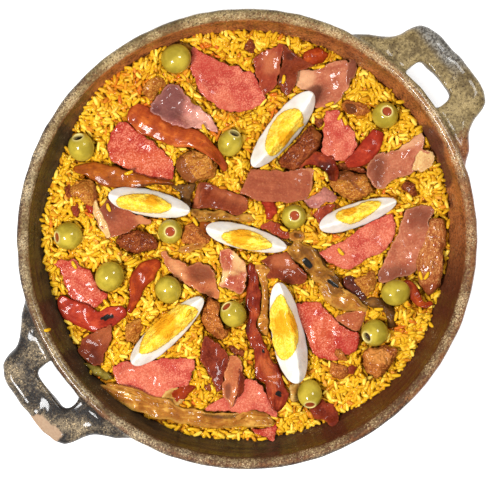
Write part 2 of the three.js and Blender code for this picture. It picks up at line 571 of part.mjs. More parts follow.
// A flat layout of vertices: an outline with smaller loops inside it round its middle.
function loopLayout(outline, counts, shares) {
  const loop = anticlockwise(outline);
  const middle = smoothLoop(loop, MIDDLE_SAMPLES)
    .reduce(([sx, sy], [x, y]) => [sx + x / MIDDLE_SAMPLES, sy + y / MIDDLE_SAMPLES], [0, 0]);
  const places = [];
  const rings = counts.map((count, k) => {
    const start = places.length;
    for (const [x, y] of smoothLoop(loop, count)) {
      places.push([middle[0] + (x - middle[0]) * shares[k], middle[1] + (y - middle[1]) * shares[k]]);
    }
    return ringNumbers(start, count);
  });
  const centre = places.length;
  places.push(middle);
  const triangles = rings.slice(1).flatMap((ring, k) => zipRings(rings[k], ring));
  const last = rings.at(-1);
  last.forEach((v, i) => triangles.push([v, last[(i + 1) % last.length], centre]));
  return { places: besideStanding(places.map(outOfTheWay), triangles), triangles, border: rings[0], rings };
}

const STRIP_STATIONS = 9;

// A flat layout of vertices along a centre line: two edges and the line itself.
function stripLayout(line, widths) {
  const curve = new THREE.CatmullRomCurve3(line.map(([x, y]) => new THREE.Vector3(x, y, 0)), false, "centripetal");
  const places = [];
  for (let s = 0; s < STRIP_STATIONS; s += 1) {
    const t = s / (STRIP_STATIONS - 1);
    const p = curve.getPointAt(t);
    const along = curve.getTangentAt(t);
    const at = t * (widths.length - 1);
    const i = Math.min(Math.floor(at), widths.length - 2);
    const half = (widths[i] + (widths[i + 1] - widths[i]) * (at - i)) / 2;
    places.push([p.x - along.y * half, p.y + along.x * half], [p.x, p.y], [p.x + along.y * half, p.y - along.x * half]);
  }
  const triangles = [];
  const last = STRIP_STATIONS - 1;
  for (let s = 0; s < last; s += 1) {
    for (const side of [0, 1]) {
      const a = 3 * s + side;
      triangles.push([a, a + 1, a + 4], [a, a + 4, a + 3]);
    }
  }
  const border = [];
  for (let s = 0; s <= last; s += 1) border.push(3 * s + 2);
  border.push(3 * last + 1);
  for (let s = last; s >= 0; s -= 1) border.push(3 * s);
  border.push(1);
  return { places: besideStanding(places.map(outOfTheWay), triangles), triangles, border, rings: [border] };
}

// Closes an upper and a lower copy of a layout into one solid.
function closeLayout({ triangles, border }, lower, upper) {
  const count = lower.length;
  const all = triangles.map(([a, b, c]) => [a + count, b + count, c + count]);
  for (const [a, b, c] of triangles) all.push([a, c, b]);
  border.forEach((a, i) => {
    const b = border[(i + 1) % border.length];
    all.push([a, b, b + count], [a, b + count, a + count]);
  });
  return { points: lower.concat(upper), triangles: all };
}

const WALL_CLEARANCE = 1.2;

// Keeps a vertex inside the dish's wall.
function insideWall([x, y, z]) {
  const radius = Math.hypot(x, y);
  const most = wallRadius(z) - WALL_CLEARANCE;
  return radius > most ? [(x * most) / radius, (y * most) / radius, z] : [x, y, z];
}

const SLICE_COUNTS = [14, 7];
const SLICE_SHARES = [1.05, 0.52]; // a little over 1 makes up for the corners that the loop cuts
const SLICE_SETTLE = 0.2; // a slice sinks this far into the grains
const SLICE_EDGE_SHARE = 0.7; // thickness at the edge, as a share of the middle's
const SLICE_UNEVEN = 0.15;

function flatPiece(layout, { thickness, wave }) {
  const edge = new Set(layout.border);
  let lower = layout.places.map(([x, y]) => insideWall([x, y, riceHeight(x, y) - SLICE_SETTLE + wave * random()]));
  clearSurface(lower, layout.triangles, tops, 1);
  lower = lower.map(insideWall);
  const upper = lower.map(([x, y, z], i) => [x, y, z + thickness * (edge.has(i) ? SLICE_EDGE_SHARE : 1) + spread(SLICE_UNEVEN)]);
  return closeLayout(layout, lower, upper);
}

const LUMP_COUNTS = [11, 9, 5];
const LUMP_SHARES = [1, 0.8, 0.4];
const LUMP_CROWN = [0.42, 0.86, 1, 1]; // height at each loop and the middle, as a share of the whole
const LUMP_SUNK = 2.5;
const LUMP_UNEVEN = { edge: 0.3, crown: 0.7 };

function lump({ outline, height }) {
  const layout = loopLayout(outline, LUMP_COUNTS, LUMP_SHARES);
  const middle = layout.places.at(-1);
  const floor = riceHeight(...middle) - LUMP_SUNK;
  const lower = layout.places.map(([x, y]) => insideWall([x, y, floor]));
  clearSurface(lower, layout.triangles, tops, 1);
  const loopOf = lower.map((_, i) => layout.rings.findIndex((ring) => ring.includes(i)));
  const upper = lower.map(([x, y, z], i) => {
    const crown = LUMP_CROWN.at(loopOf[i]);
    return [x, y, z + height * crown + spread(loopOf[i] === 0 ? LUMP_UNEVEN.edge : LUMP_UNEVEN.crown)];
  });
  return closeLayout(layout, lower, upper);
}

// ---------------------------------------------------------------- rice

const RICE_WALL_LEVELS = [30, 20, 12.5]; // heights of the loops down the side of the rice
const RICE_SIDE_COUNT = 48;
const RICE_FOOT = DISH_INSIDE[1]; // the edge of the rice's flat underside
const RICE_JITTER = { turn: 0.28, radius: 0.26 * GRAIN_PITCH, edge: 0.6 }; // how far the bumps stray from even rings
const SMOOTH_RISE = 0.3; // share of the grains' relief that is left on a small topping

// Height that the small toppings add to the rice at a place.
function toppingRise(x, y) {
  let rise = 0;
  for (const [cx, cy, radius, height] of SMALL_TOPPINGS) {
    const away = Math.hypot(x - cx, y - cy);
    rise = Math.max(rise, height * (1 - THREE.MathUtils.smoothstep(away, radius * 0.7, radius * 1.15)));
  }
  return rise;
}

function rice() {
  const loops = Math.round(Math.min(...TIDE_RADII) / GRAIN_PITCH);
  const points = [];
  const rings = [];
  for (let k = loops; k >= 1; k -= 1) {
    const share = k / loops;
    const count = Math.round(2 * Math.PI * k);
    const start = points.length;
    for (let i = 0; i < count; i += 1) {
      const onWall = k === loops;
      const angle = (2 * Math.PI * (i + (onWall ? 0 : spread(RICE_JITTER.turn)))) / count;
      const radius = tideRadius(angle) * share + (onWall ? 0 : spread(RICE_JITTER.radius));
      const x = radius * Math.cos(angle);
      const y = radius * Math.sin(angle);
      const rise = toppingRise(x, y);
      const bump = onWall ? spread(RICE_JITTER.edge) : spread(GRAIN_BUMP) * (rise > 1 ? SMOOTH_RISE : 1);
      points.push([x, y, riceHeight(x, y) + bump + rise]);
    }
    rings.push(ringNumbers(start, count));
  }
  const middle = points.length;
  points.push([0, 0, riceHeight(0, 0)]);
  const surface = rings.slice(1).flatMap((ring, k) => zipRings(rings[k], ring));
  const last = rings.at(-1);
  last.forEach((v, i) => surface.push([v, last[(i + 1) % last.length], middle]));
  clearSurface(points, surface, undersides, -1);
  for (const v of rings[0]) points[v] = againstWall(points[v]);
  // The side and the bottom follow the dish.
  const under = RICE_WALL_LEVELS.map((z) => {
    const start = points.length;
    for (let i = 0; i < RICE_SIDE_COUNT; i += 1) {
      const angle = (2 * Math.PI * i) / RICE_SIDE_COUNT;
      const radius = wallRadius(z) - 2 * GAP;
      points.push([radius * Math.cos(angle), radius * Math.sin(angle), z]);
    }
    return ringNumbers(start, RICE_SIDE_COUNT);
  });
  const floor = points.length;
  points.push([0, 0, FLOOR_THICKNESS + 2 * GAP]);
  const foot = ringNumbers(points.length, RICE_SIDE_COUNT);
  for (const v of foot) {
    const angle = (2 * Math.PI * (v - foot[0])) / RICE_SIDE_COUNT;
    points.push([(RICE_FOOT[0] - 1) * Math.cos(angle), (RICE_FOOT[0] - 1) * Math.sin(angle), RICE_FOOT[1] + 2 * GAP]);
  }
  const around = [rings[0], ...under, foot];
  const side = around.slice(1).flatMap((ring, k) => zipRings(around[k], ring));
  foot.forEach((v, i) => side.push([v, foot[(i + 1) % foot.length], floor]));
  return { points, triangles: surface.concat(side.map(([a, b, c]) => [a, c, b])) };
}

// Puts the rice's edge against the wall at its own height.
function againstWall([x, y, z]) {
  const radius = Math.hypot(x, y);
  const wall = wallRadius(z) - 2 * GAP;
  return [(x * wall) / radius, (y * wall) / radius, z];
}

// ---------------------------------------------------------------- the whole platter

const GLAZED_CLAY = new THREE.MeshStandardMaterial({ color: 0x8a6a40, roughness: 0.3, metalness: 0 });
const FOOD_COLOURS = {
  rice: { colour: 0xe6ae2a, roughness: 0.5 },
  egg: { colour: 0xf2eee4, roughness: 0.35 },
  olive: { colour: 0x9c9338, roughness: 0.3 },
  fried: { colour: 0x8d4a22, roughness: 0.45 },
  ...KINDS,
};

function foodMesh(name, kind, { points, triangles }) {
  const { colour, roughness } = FOOD_COLOURS[kind];
  const material = new THREE.MeshStandardMaterial({ color: colour, roughness, metalness: 0 });
  const mesh = new THREE.Mesh(geometryOf(points, triangles), material);
  mesh.name = name;
  return mesh;
}

const food = new THREE.Group();
food.rotation.z = FOOD_TURN;

function lay(name, kind, piece) {
  enterPiece(piece);
  food.add(foodMesh(name, kind, piece));
}

for (const wedge of EGG_WEDGES) lay(wedge.name, "egg", eggWedge(wedge));
for (const item of OLIVES) lay(item.name, "olive", olive(item));
for (const piece of LUMPS) lay(piece.name, "fried", lump(piece));
const laySlices = (wanted) => {
  for (const { name, kind, outline } of SLICES.filter((slice) => slice.kind === wanted)) {
    lay(name, kind, flatPiece(loopLayout(outline, SLICE_COUNTS, SLICE_SHARES), KINDS[kind]));
  }
};
laySlices("salami");
for (const { name, kind, line, widths } of STRIPS) lay(name, kind, flatPiece(stripLayout(line, widths), KINDS[kind]));
laySlices("ham");
food.add(foodMesh("rice", "rice", rice()));

const dish = new THREE.Mesh(makeDish(), GLAZED_CLAY);
dish.name = "dish";

const platter = new THREE.Group();
platter.add(dish, food);

export default platter;
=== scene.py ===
"""A rice platter in its earthenware dish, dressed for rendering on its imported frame.

Sizes are millimetres until a mesh is made. Places are given in the food's own axes, which are turned
against the handles.
"""

import json
import logging
import math
from collections.abc import Iterable, Sequence
from dataclasses import dataclass, field
from enum import Enum

import bmesh
import bpy
import numpy as np
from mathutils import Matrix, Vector
from mathutils.bvhtree import BVHTree
from mathutils.geometry import delaunay_2d_cdt

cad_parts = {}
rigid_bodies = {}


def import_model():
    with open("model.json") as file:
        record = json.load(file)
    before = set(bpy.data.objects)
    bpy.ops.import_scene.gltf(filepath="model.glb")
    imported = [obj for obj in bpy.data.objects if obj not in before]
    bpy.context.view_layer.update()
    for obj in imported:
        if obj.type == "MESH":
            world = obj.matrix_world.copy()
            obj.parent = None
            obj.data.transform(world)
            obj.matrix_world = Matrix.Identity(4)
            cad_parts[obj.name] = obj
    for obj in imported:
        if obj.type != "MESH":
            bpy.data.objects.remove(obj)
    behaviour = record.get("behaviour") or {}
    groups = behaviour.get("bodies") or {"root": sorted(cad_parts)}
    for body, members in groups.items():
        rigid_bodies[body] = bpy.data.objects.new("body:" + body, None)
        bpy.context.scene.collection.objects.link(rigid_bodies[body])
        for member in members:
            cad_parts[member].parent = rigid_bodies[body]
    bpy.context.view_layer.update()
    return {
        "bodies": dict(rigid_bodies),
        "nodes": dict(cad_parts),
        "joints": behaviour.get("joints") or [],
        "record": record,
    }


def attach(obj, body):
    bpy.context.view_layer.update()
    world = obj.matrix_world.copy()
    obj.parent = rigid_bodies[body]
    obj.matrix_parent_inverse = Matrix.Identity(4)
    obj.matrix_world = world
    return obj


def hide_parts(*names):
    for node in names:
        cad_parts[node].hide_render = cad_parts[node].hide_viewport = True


MM = 0.001
FOOD_TURN = math.radians(-39.1)  # the food's own axes against the handles
FOOD_LEVEL = 48.0  # about where the toppings lie
CURVE_STEPS = 12  # points that a curve gets between two corners
BODY = "root"
UP = np.array([0.0, 0.0, 1.0])

Place = tuple[float, float]
Triple = tuple[float, float, float]
Colour = tuple[float, float, float]  # red, green and blue as seen, 0 to 255
Outline = Sequence[float]  # x and y of one corner after the other
Socket = bpy.types.NodeSocket
Material = bpy.types.Material

LOG = logging.getLogger("platter")


# ---- small tools


def turned(places: np.ndarray, angle: float) -> np.ndarray:
    """Turns places about the dish's axis.

    Args:
        places: Rows of x, y and maybe z.
        angle: Radians, anticlockwise from above.

    Returns:
        A turned copy.
    """
    c, s = math.cos(angle), math.sin(angle)
    made = np.array(places, float)
    made[:, 0], made[:, 1] = places[:, 0] * c - places[:, 1] * s, places[:, 0] * s + places[:, 1] * c
    return made


def to_part(points: np.ndarray) -> np.ndarray:
    """Takes points in mm in the food's axes into the part's frame in metres."""
    return turned(points, FOOD_TURN) * MM


def to_food(points: np.ndarray) -> np.ndarray:
    """Takes points in metres in the part's frame into the food's axes in mm."""
    return turned(points, -FOOD_TURN) / MM


def ease(values: np.ndarray, low: float, high: float) -> np.ndarray:
    """Rises smoothly from 0 at low to 1 at high."""
    t = np.clip((values - low) / (high - low), 0.0, 1.0)
    return t * t * (3 - 2 * t)


def outward(loop: np.ndarray) -> np.ndarray:
    """Gives the unit way out at each point of an anticlockwise loop."""
    run = np.roll(loop, -1, axis=0) - np.roll(loop, 1, axis=0)
    return np.column_stack([run[:, 1], -run[:, 0]]) / np.linalg.norm(run, axis=1)[:, None]


def lengths_along(line: np.ndarray) -> np.ndarray:
    """Gives how far along a line each of its points lies."""
    return np.concatenate([[0], np.cumsum(np.linalg.norm(np.diff(line, axis=0), axis=1))])


def evenly(line: np.ndarray, count: int, endpoint: bool) -> np.ndarray:
    """Walks a line in equal steps, up to its last point or to one step before it."""
    run = lengths_along(line)
    at = np.linspace(0, run[-1], count, endpoint=endpoint)
    return np.column_stack([np.interp(at, run, line[:, k]) for k in range(2)])


def smooth_loop(outline: Outline, count: int, closed: bool = True) -> np.ndarray:
    """Draws an evenly stepped curve through the corners of an outline.

    Args:
        outline: x and y of each of its corners.
        count: Points on the curve.
        closed: Whether the last corner joins the first.

    Returns:
        Points as rows of x and y.
    """
    corners = np.array(outline, float).reshape(-1, 2)
    n = len(corners)
    t = np.linspace(0, 1, CURVE_STEPS, endpoint=False)[:, None]
    rows = []
    for i in range(n if closed else n - 1):
        beside = range(i - 1, i + 3)
        p0, p1, p2, p3 = (corners[j % n if closed else min(max(j, 0), n - 1)] for j in beside)
        rows.append(0.5 * (
            2 * p1 + (p2 - p0) * t
            + (2 * p0 - 5 * p1 + 4 * p2 - p3) * t**2
            + (3 * p1 - p0 - 3 * p2 + p3) * t**3
        ))
    return evenly(np.vstack([*rows, corners[:1] if closed else corners[-1:]]), count, not closed)


def depth_inside(outline: np.ndarray, places: np.ndarray) -> np.ndarray:
    """Measures how far places lie inside an outline.

    Args:
        outline: Corners as rows of x and y.
        places: Rows of x, y and maybe z.

    Returns:
        The distance to the outline in mm, negative outside it.
    """
    near = np.full(len(places), np.inf)
    inside = np.zeros(len(places), bool)
    x, y = places[:, 0], places[:, 1]
    for (ax, ay), (bx, by) in zip(outline, np.roll(outline, -1, axis=0)):
        ex, ey = bx - ax, by - ay
        t = np.clip(((x - ax) * ex + (y - ay) * ey) / max(ex * ex + ey * ey, 1e-12), 0, 1)
        near = np.minimum(near, np.hypot(x - ax - t * ex, y - ay - t * ey))
        if ay != by:
            inside ^= ((ay > y) != (by > y)) & (x < (bx - ax) * (y - ay) / (by - ay) + ax)
    return np.where(inside, near, -near)


class Unevenness:
    """A smooth random field between about -1 and 1, as a sum of seeded plane waves."""

    WAVES = 16

    def __init__(self, seed: int, wavelength: float, flat: bool = False) -> None:
        """Draws the waves.

        Args:
            seed: Start of the random draws.
            wavelength: Mean distance between two crests in mm.
            flat: Whether the field is the same at all heights.
        """
        draw = np.random.default_rng(seed)
        way = draw.normal(size=(self.WAVES, 3))
        if flat:
            way[:, 2] = 0
        way /= np.linalg.norm(way, axis=1)[:, None]
        self.ways = way * (2 * math.pi / (wavelength * draw.uniform(0.6, 1.7, self.WAVES)))[:, None]
        self.phases = draw.uniform(0, 2 * math.pi, self.WAVES)
        self.share = math.sqrt(2 / self.WAVES) / 1.6

    def at(self, points: np.ndarray) -> np.ndarray:
        """Gives the field at points in mm."""
        level = points if points.shape[1] == 3 else np.column_stack([points, np.zeros(len(points))])
        return np.sin(level @ self.ways.T + self.phases).sum(axis=1) * self.share


# ---- meshes


@dataclass(frozen=True)
class Patch:
    """A part of a piece that is darker or paler, and may be a fold that stands up; darker parts are partly
    painted shade, and on sausage the paler ones are painted sheen.
    """

    paint: str
    outline: Outline
    rise: float = 0.0
    soft: float = 3.0  # how gently it ends


@dataclass
class Form:
    """A mesh in the making: points in mm in the food's axes, faces, and numbers painted on the points."""

    points: np.ndarray
    faces: list[np.ndarray]
    paint: dict[str, np.ndarray] = field(default_factory=dict)

    def normals(self) -> np.ndarray:
        """Works out a unit normal at each point.

        Returns:
            The normals as rows.
        """
        total = np.zeros_like(self.points)
        for group in self.faces:
            a, b, c = (self.points[group[:, k]] for k in (0, 1, 2))
            normal = np.cross(b - a, c - a)
            if group.shape[1] == 4:
                normal += np.cross(c - a, self.points[group[:, 3]] - a)
            for k in range(group.shape[1]):
                np.add.at(total, group[:, k], normal)
        return total / np.maximum(np.linalg.norm(total, axis=1), 1e-12)[:, None]

    def coloured(self, depth: np.ndarray, patches: Sequence[Patch], top: np.ndarray) -> "Form":
        """Paints a topping and raises its folds.

        Args:
            depth: How far each point lies from the edge.
            patches: What is painted.
            top: 1 on the upper side, 0 on the lower.

        Returns:
            This form.
        """
        self.paint = {name: np.zeros(len(self.points)) for name in ("dark", "pale", "black")}
        self.paint["edge"] = 1 - ease(depth, 0.2, 2.2)
        self.paint["along"], self.paint["across"] = self.points[:, 0].copy(), self.points[:, 1].copy()
        for patch in patches:
            inside = depth_inside(smooth_loop(patch.outline, 36), self.points)
            self.points[:, 2] += top * patch.rise * ease(inside, -0.3, 1.5)
            painted = ease(inside, -patch.soft, patch.soft)
            self.paint[patch.paint] = np.maximum(self.paint[patch.paint], painted)
        return self

    def piece(self, name: str, finish: Material, slot: str, nodes: Sequence[str]) -> None:
        """Makes the Blender piece and ties it to the frame.

        Args:
            name: The piece's name.
            finish: Its material.
            slot: The record's material slot; not used.
            nodes: The CAD nodes that it stands for.
        """
        mesh = bpy.data.meshes.new(name)
        points = to_part(self.points)
        mesh.vertices.add(len(points))
        mesh.vertices.foreach_set("co", points.astype(np.float32).ravel())
        corners = np.concatenate([group.ravel() for group in self.faces]).astype(np.int32)
        sizes = np.concatenate([np.full(len(group), group.shape[1]) for group in self.faces])
        starts = np.concatenate([[0], np.cumsum(sizes)[:-1]]).astype(np.int32)
        mesh.loops.add(len(corners))
        mesh.loops.foreach_set("vertex_index", corners)
        mesh.polygons.add(len(sizes))
        mesh.polygons.foreach_set("loop_start", starts)
        mesh.update(calc_edges=True)
        mesh.shade_smooth()
        for key, values in self.paint.items():
            mesh.attributes.new(key, "FLOAT", "POINT").data.foreach_set("value", values.astype(np.float32))
        mesh.materials.append(finish)
        made = bpy.data.objects.new(name, mesh)
        bpy.context.scene.collection.objects.link(made)
        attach(made, BODY)
        if nodes:
            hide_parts(*nodes)
        LOG.info("%s: %d faces", name, len(sizes))


class Surface:
    """Something to lie on, asked for its height from above."""

    SKY = 200.0

    def __init__(self, points: np.ndarray, faces: Iterable[Sequence[int]]) -> None:
        """Builds the search tree from points in mm and faces."""
        self.tree = BVHTree.FromPolygons([tuple(p) for p in points], [tuple(f) for f in faces])

    @classmethod
    def of(cls, form: Form) -> "Surface":
        """Makes a surface from a form."""
        return cls(form.points, [q for group in form.faces for q in group.tolist()])

    def height(self, x: float, y: float) -> float | None:
        """Gives the height of the highest point over a place, or None beside the surface."""
        hit = self.tree.ray_cast(Vector((x, y, self.SKY)), Vector((0, 0, -1)))[0]
        return hit.z if hit else None

    def heights(self, places: np.ndarray, missing: float = -1e3) -> np.ndarray:
        """Gives the heights at rows of x and y, with a number for places beside the surface."""
        found = (self.height(x, y) for x, y in places[:, :2])
        return np.array([missing if z is None else z for z in found])


class Covers(Surface):
    """Several surfaces asked as one."""

    def __init__(self, surfaces: Sequence[Surface]) -> None:
        """Keeps the surfaces."""
        self.surfaces = surfaces

    def height(self, x: float, y: float) -> float | None:
        """Gives the height of the highest surface over a place, or None beside them all."""
        found = [z for z in (s.height(x, y) for s in self.surfaces) if z is not None]
        return max(found) if found else None


class Solids:
    """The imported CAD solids, read as forms and as surfaces to lie on."""

    FINE_LEVELS = 3  # times that a solid is refined
    GROW_BACK = 1.02  # makes up for what the refining shrinks

    def __init__(self, frame: dict) -> None:
        """Keeps the frame's nodes."""
        self.nodes = frame["nodes"]

    def mesh(self, node: str) -> bpy.types.Mesh:
        """Copies a node's mesh with its split points merged.

        Args:
            node: The node's name.

        Returns:
            The copy, to be removed after use.
        """
        work = bmesh.new()
        work.from_mesh(self.nodes[node].data)
        bmesh.ops.remove_doubles(work, verts=work.verts, dist=1e-6)
        mesh = bpy.data.meshes.new(node + "_work")
        work.to_mesh(mesh)
        work.free()
        return mesh

    def points(self, node: str) -> tuple[np.ndarray, list[list[int]]]:
        """Reads a node.

        Args:
            node: The node's name.

        Returns:
            Its points in the food's axes, and its faces.
        """
        mesh = self.mesh(node)
        points = to_food(np.array([v.co for v in mesh.vertices], float))
        faces = [list(p.vertices) for p in mesh.polygons]
        bpy.data.meshes.remove(mesh)
        return points, faces

    def refined(self, node: str, *changes: tuple[str, dict[str, object]]) -> Form:
        """Copies a node with modifiers applied.

        Args:
            node: The node's name.
            changes: Each modifier's type and its settings.

        Returns:
            The evaluated mesh as a form.
        """
        plain = self.mesh(node)
        copy = bpy.data.objects.new(plain.name, plain)
        bpy.context.scene.collection.objects.link(copy)
        for kind, settings in changes:
            modifier = copy.modifiers.new(kind, kind)
            for name, value in settings.items():
                setattr(modifier, name, value)
        made = bpy.data.meshes.new_from_object(copy.evaluated_get(bpy.context.evaluated_depsgraph_get()))
        points = np.empty(len(made.vertices) * 3, np.float32)
        made.vertices.foreach_get("co", points)
        corners = np.empty(len(made.loops), np.int32)
        made.loops.foreach_get("vertex_index", corners)
        sizes = np.empty(len(made.polygons), np.int32)
        made.polygons.foreach_get("loop_total", sizes)
        starts = np.concatenate([[0], np.cumsum(sizes)[:-1]])
        faces = [corners[starts[sizes == n][:, None] + np.arange(n)] for n in np.unique(sizes)]
        bpy.data.objects.remove(copy)
        bpy.data.meshes.remove(plain)
        bpy.data.meshes.remove(made)
        return Form(to_food(points.reshape(-1, 3).astype(float)), faces)

    def smoothed(self, node: str) -> Form:
        """Copies a node with its facets rounded off."""
        levels = {"levels": self.FINE_LEVELS, "render_levels": self.FINE_LEVELS}
        return self.refined(node, ("SUBSURF", levels))

    def crisper(self, points: np.ndarray, node: str, share: float | np.ndarray) -> np.ndarray:
        """Pulls softened points part of the way back onto their solid, so that its edges stay crisp.

        Args:
            points: The softened points.
            node: The solid's node.
            share: 0 leaves them where they are, 1 puts them onto the solid; one for all or one a row.

        Returns:
            The new points.
        """
        tree = self.surface([node]).tree
        near = np.array([tree.find_nearest(Vector(p))[0] for p in points])
        middle = points.mean(axis=0)
        grown = middle + (points - middle) * self.GROW_BACK
        return (1 - share) * grown + share * near

    def surface(self, names: Iterable[str]) -> Surface:
        """Joins nodes into one surface to look up heights on.

        Args:
            names: The nodes' names.

        Returns:
            The surface.
        """
        points, faces = [], []
        for name in names:
            own, corners = self.points(name)
            shift = sum(map(len, points))
            faces += [[i + shift for i in face] for face in corners]
            points.append(own)
        return Surface(np.vstack(points), faces)


# ---- finishes


def linear(colour: Colour) -> tuple[float, float, float, float]:
    """Takes a colour as seen, 0 to 255, into light."""
    parts = [c / 255 for c in colour]
    return (*[c / 12.92 if c <= 0.04045 else ((c + 0.055) / 1.055) ** 2.4 for c in parts], 1.0)


class Recipe:
    """The nodes of one material, laid out by short calls."""

    def __init__(self, name: str) -> None:
        """Starts a material.

        Args:
            name: The material's name.
        """
        self.material = bpy.data.materials.new(name)
        self.material.use_nodes = True
        self.tree = self.material.node_tree
        self.place = self.tree.nodes.new("ShaderNodeTexCoord").outputs["Object"]

    def put(self, socket: Socket, value: object) -> None:
        """Links a socket to another, or sets its value.

        Args:
            socket: The input socket.
            value: Another socket, a number, a vector or a colour.
        """
        if isinstance(value, bpy.types.NodeSocket):
            self.tree.links.new(value, socket)
        elif isinstance(value, tuple) and len(value) == 3 and len(socket.default_value) == 4:
            socket.default_value = linear(value)
        else:
            socket.default_value = value

    def node(self, kind: str, inputs: dict, output: int | str = 0, **settings: object) -> Socket:
        """Adds a node.

        Args:
            kind: Its type.
            inputs: What goes into its sockets, by name or number.
            output: Which output is wanted.
            settings: Its other values.

        Returns:
            The output.
        """
        made = self.tree.nodes.new("ShaderNode" + kind)
        for name, value in settings.items():
            setattr(made, name, value)
        for key, value in inputs.items():
            self.put(made.inputs[key], value)
        return made.outputs[output]

    def noise(
        self, size: float, detail: float = 2.0, stretch: Triple = (1, 1, 1), turn: float = 0.0
    ) -> Socket:
        """Lays a cloudy pattern.

        Args:
            size: Size of its clouds in mm.
            detail: Octaves of finer clouds.
            stretch: How much finer it is along each axis.
            turn: Turn of those axes in degrees.

        Returns:
            A number between 0 and 1.
        """
        place = self.place
        if stretch != (1, 1, 1):
            rotation = (0, 0, math.radians(turn) + FOOD_TURN)
            inputs = {"Vector": place, "Rotation": rotation, "Scale": tuple(1 / s for s in stretch)}
            place = self.node("Mapping", inputs, vector_type="TEXTURE")
        return self.node("TexNoise", {"Vector": place, "Scale": 1 / (size * MM), "Detail": detail})

    def streaks(self, size: float) -> Socket:
        """Lays a cloudy pattern that is drawn out along a piece, whose course is painted on it."""
        along = self.product(self.painted("along"), 0.2)
        place = self.node("CombineXYZ", {0: along, 1: self.painted("across")})
        return self.node("TexNoise", {"Vector": place, "Scale": 1 / size, "Detail": 3})

    def cells(self, size: float) -> Socket:
        """Lays a pattern of cells and gives the distance to the nearest one's middle, 0 to about 1."""
        return self.node("TexVoronoi", {"Vector": self.place, "Scale": 1 / (size * MM)}, "Distance")

    def painted(self, name: str) -> Socket:
        """Reads a number that was painted on the points."""
        return self.node("Attribute", {}, "Fac", attribute_name=name)

    def step(self, value: Socket, low: float, high: float) -> Socket:
        """Turns a number into 0 at low and 1 at high, smooth between."""
        inputs = {"Value": value, "From Min": low, "From Max": high}
        return self.node("MapRange", inputs, interpolation_type="SMOOTHSTEP")

    def sum(self, a: object, b: object, share: object = 1.0) -> Socket:
        """Adds b, times a share, to a."""
        return self.node("Math", {0: b, 1: share, 2: a}, operation="MULTIPLY_ADD")

    def product(self, a: object, b: object) -> Socket:
        """Multiplies two numbers."""
        return self.node("Math", {0: a, 1: b}, operation="MULTIPLY")

    def blend(self, share: object, a: object, b: object) -> Socket:
        """Mixes two colours, with a share of the second."""
        return self.node("Mix", {0: share, 6: a, 7: b}, 2, data_type="RGBA")

    def over(self, body: Socket, colour: object, where: Socket, share: float = 1.0) -> Socket:
        """Lays a colour over the body where a pattern says so, at a share of its strength."""
        return self.blend(where if share == 1.0 else self.product(where, share), body, colour)

    def zone(self, name: str, ragged: Socket, share: float = 0.7, soft: float = 0.3) -> Socket:
        """Reads a painted zone, with its border torn along a pattern for a share and ending softly."""
        middle = 0.5 + 0.5 * share
        return self.step(self.sum(self.painted(name), ragged, share), middle - soft, middle + soft)

    def done(
        self, colour: object, roughness: object, relief: Socket, height: float, **others: object
    ) -> Material:
        """Joins everything to the shader.

        Args:
            colour: The base colour.
            roughness: A number or a socket.
            relief: A number that raises the surface.
            height: Height in mm between 0 and 1 of the relief.
            others: Other sockets of the shader, with _ for a space in a name.

        Returns:
            The finished material.
        """
        bump = self.node("Bump", {"Distance": height * MM, "Height": relief})
        inputs = {"Base_Color": colour, "Roughness": roughness, "Normal": bump}
        for name, value in (inputs | {"Specular_IOR_Level": 0.05} | others).items():
            self.put(self.tree.nodes["Principled BSDF"].inputs[name.replace("_", " ")], value)
        return self.material


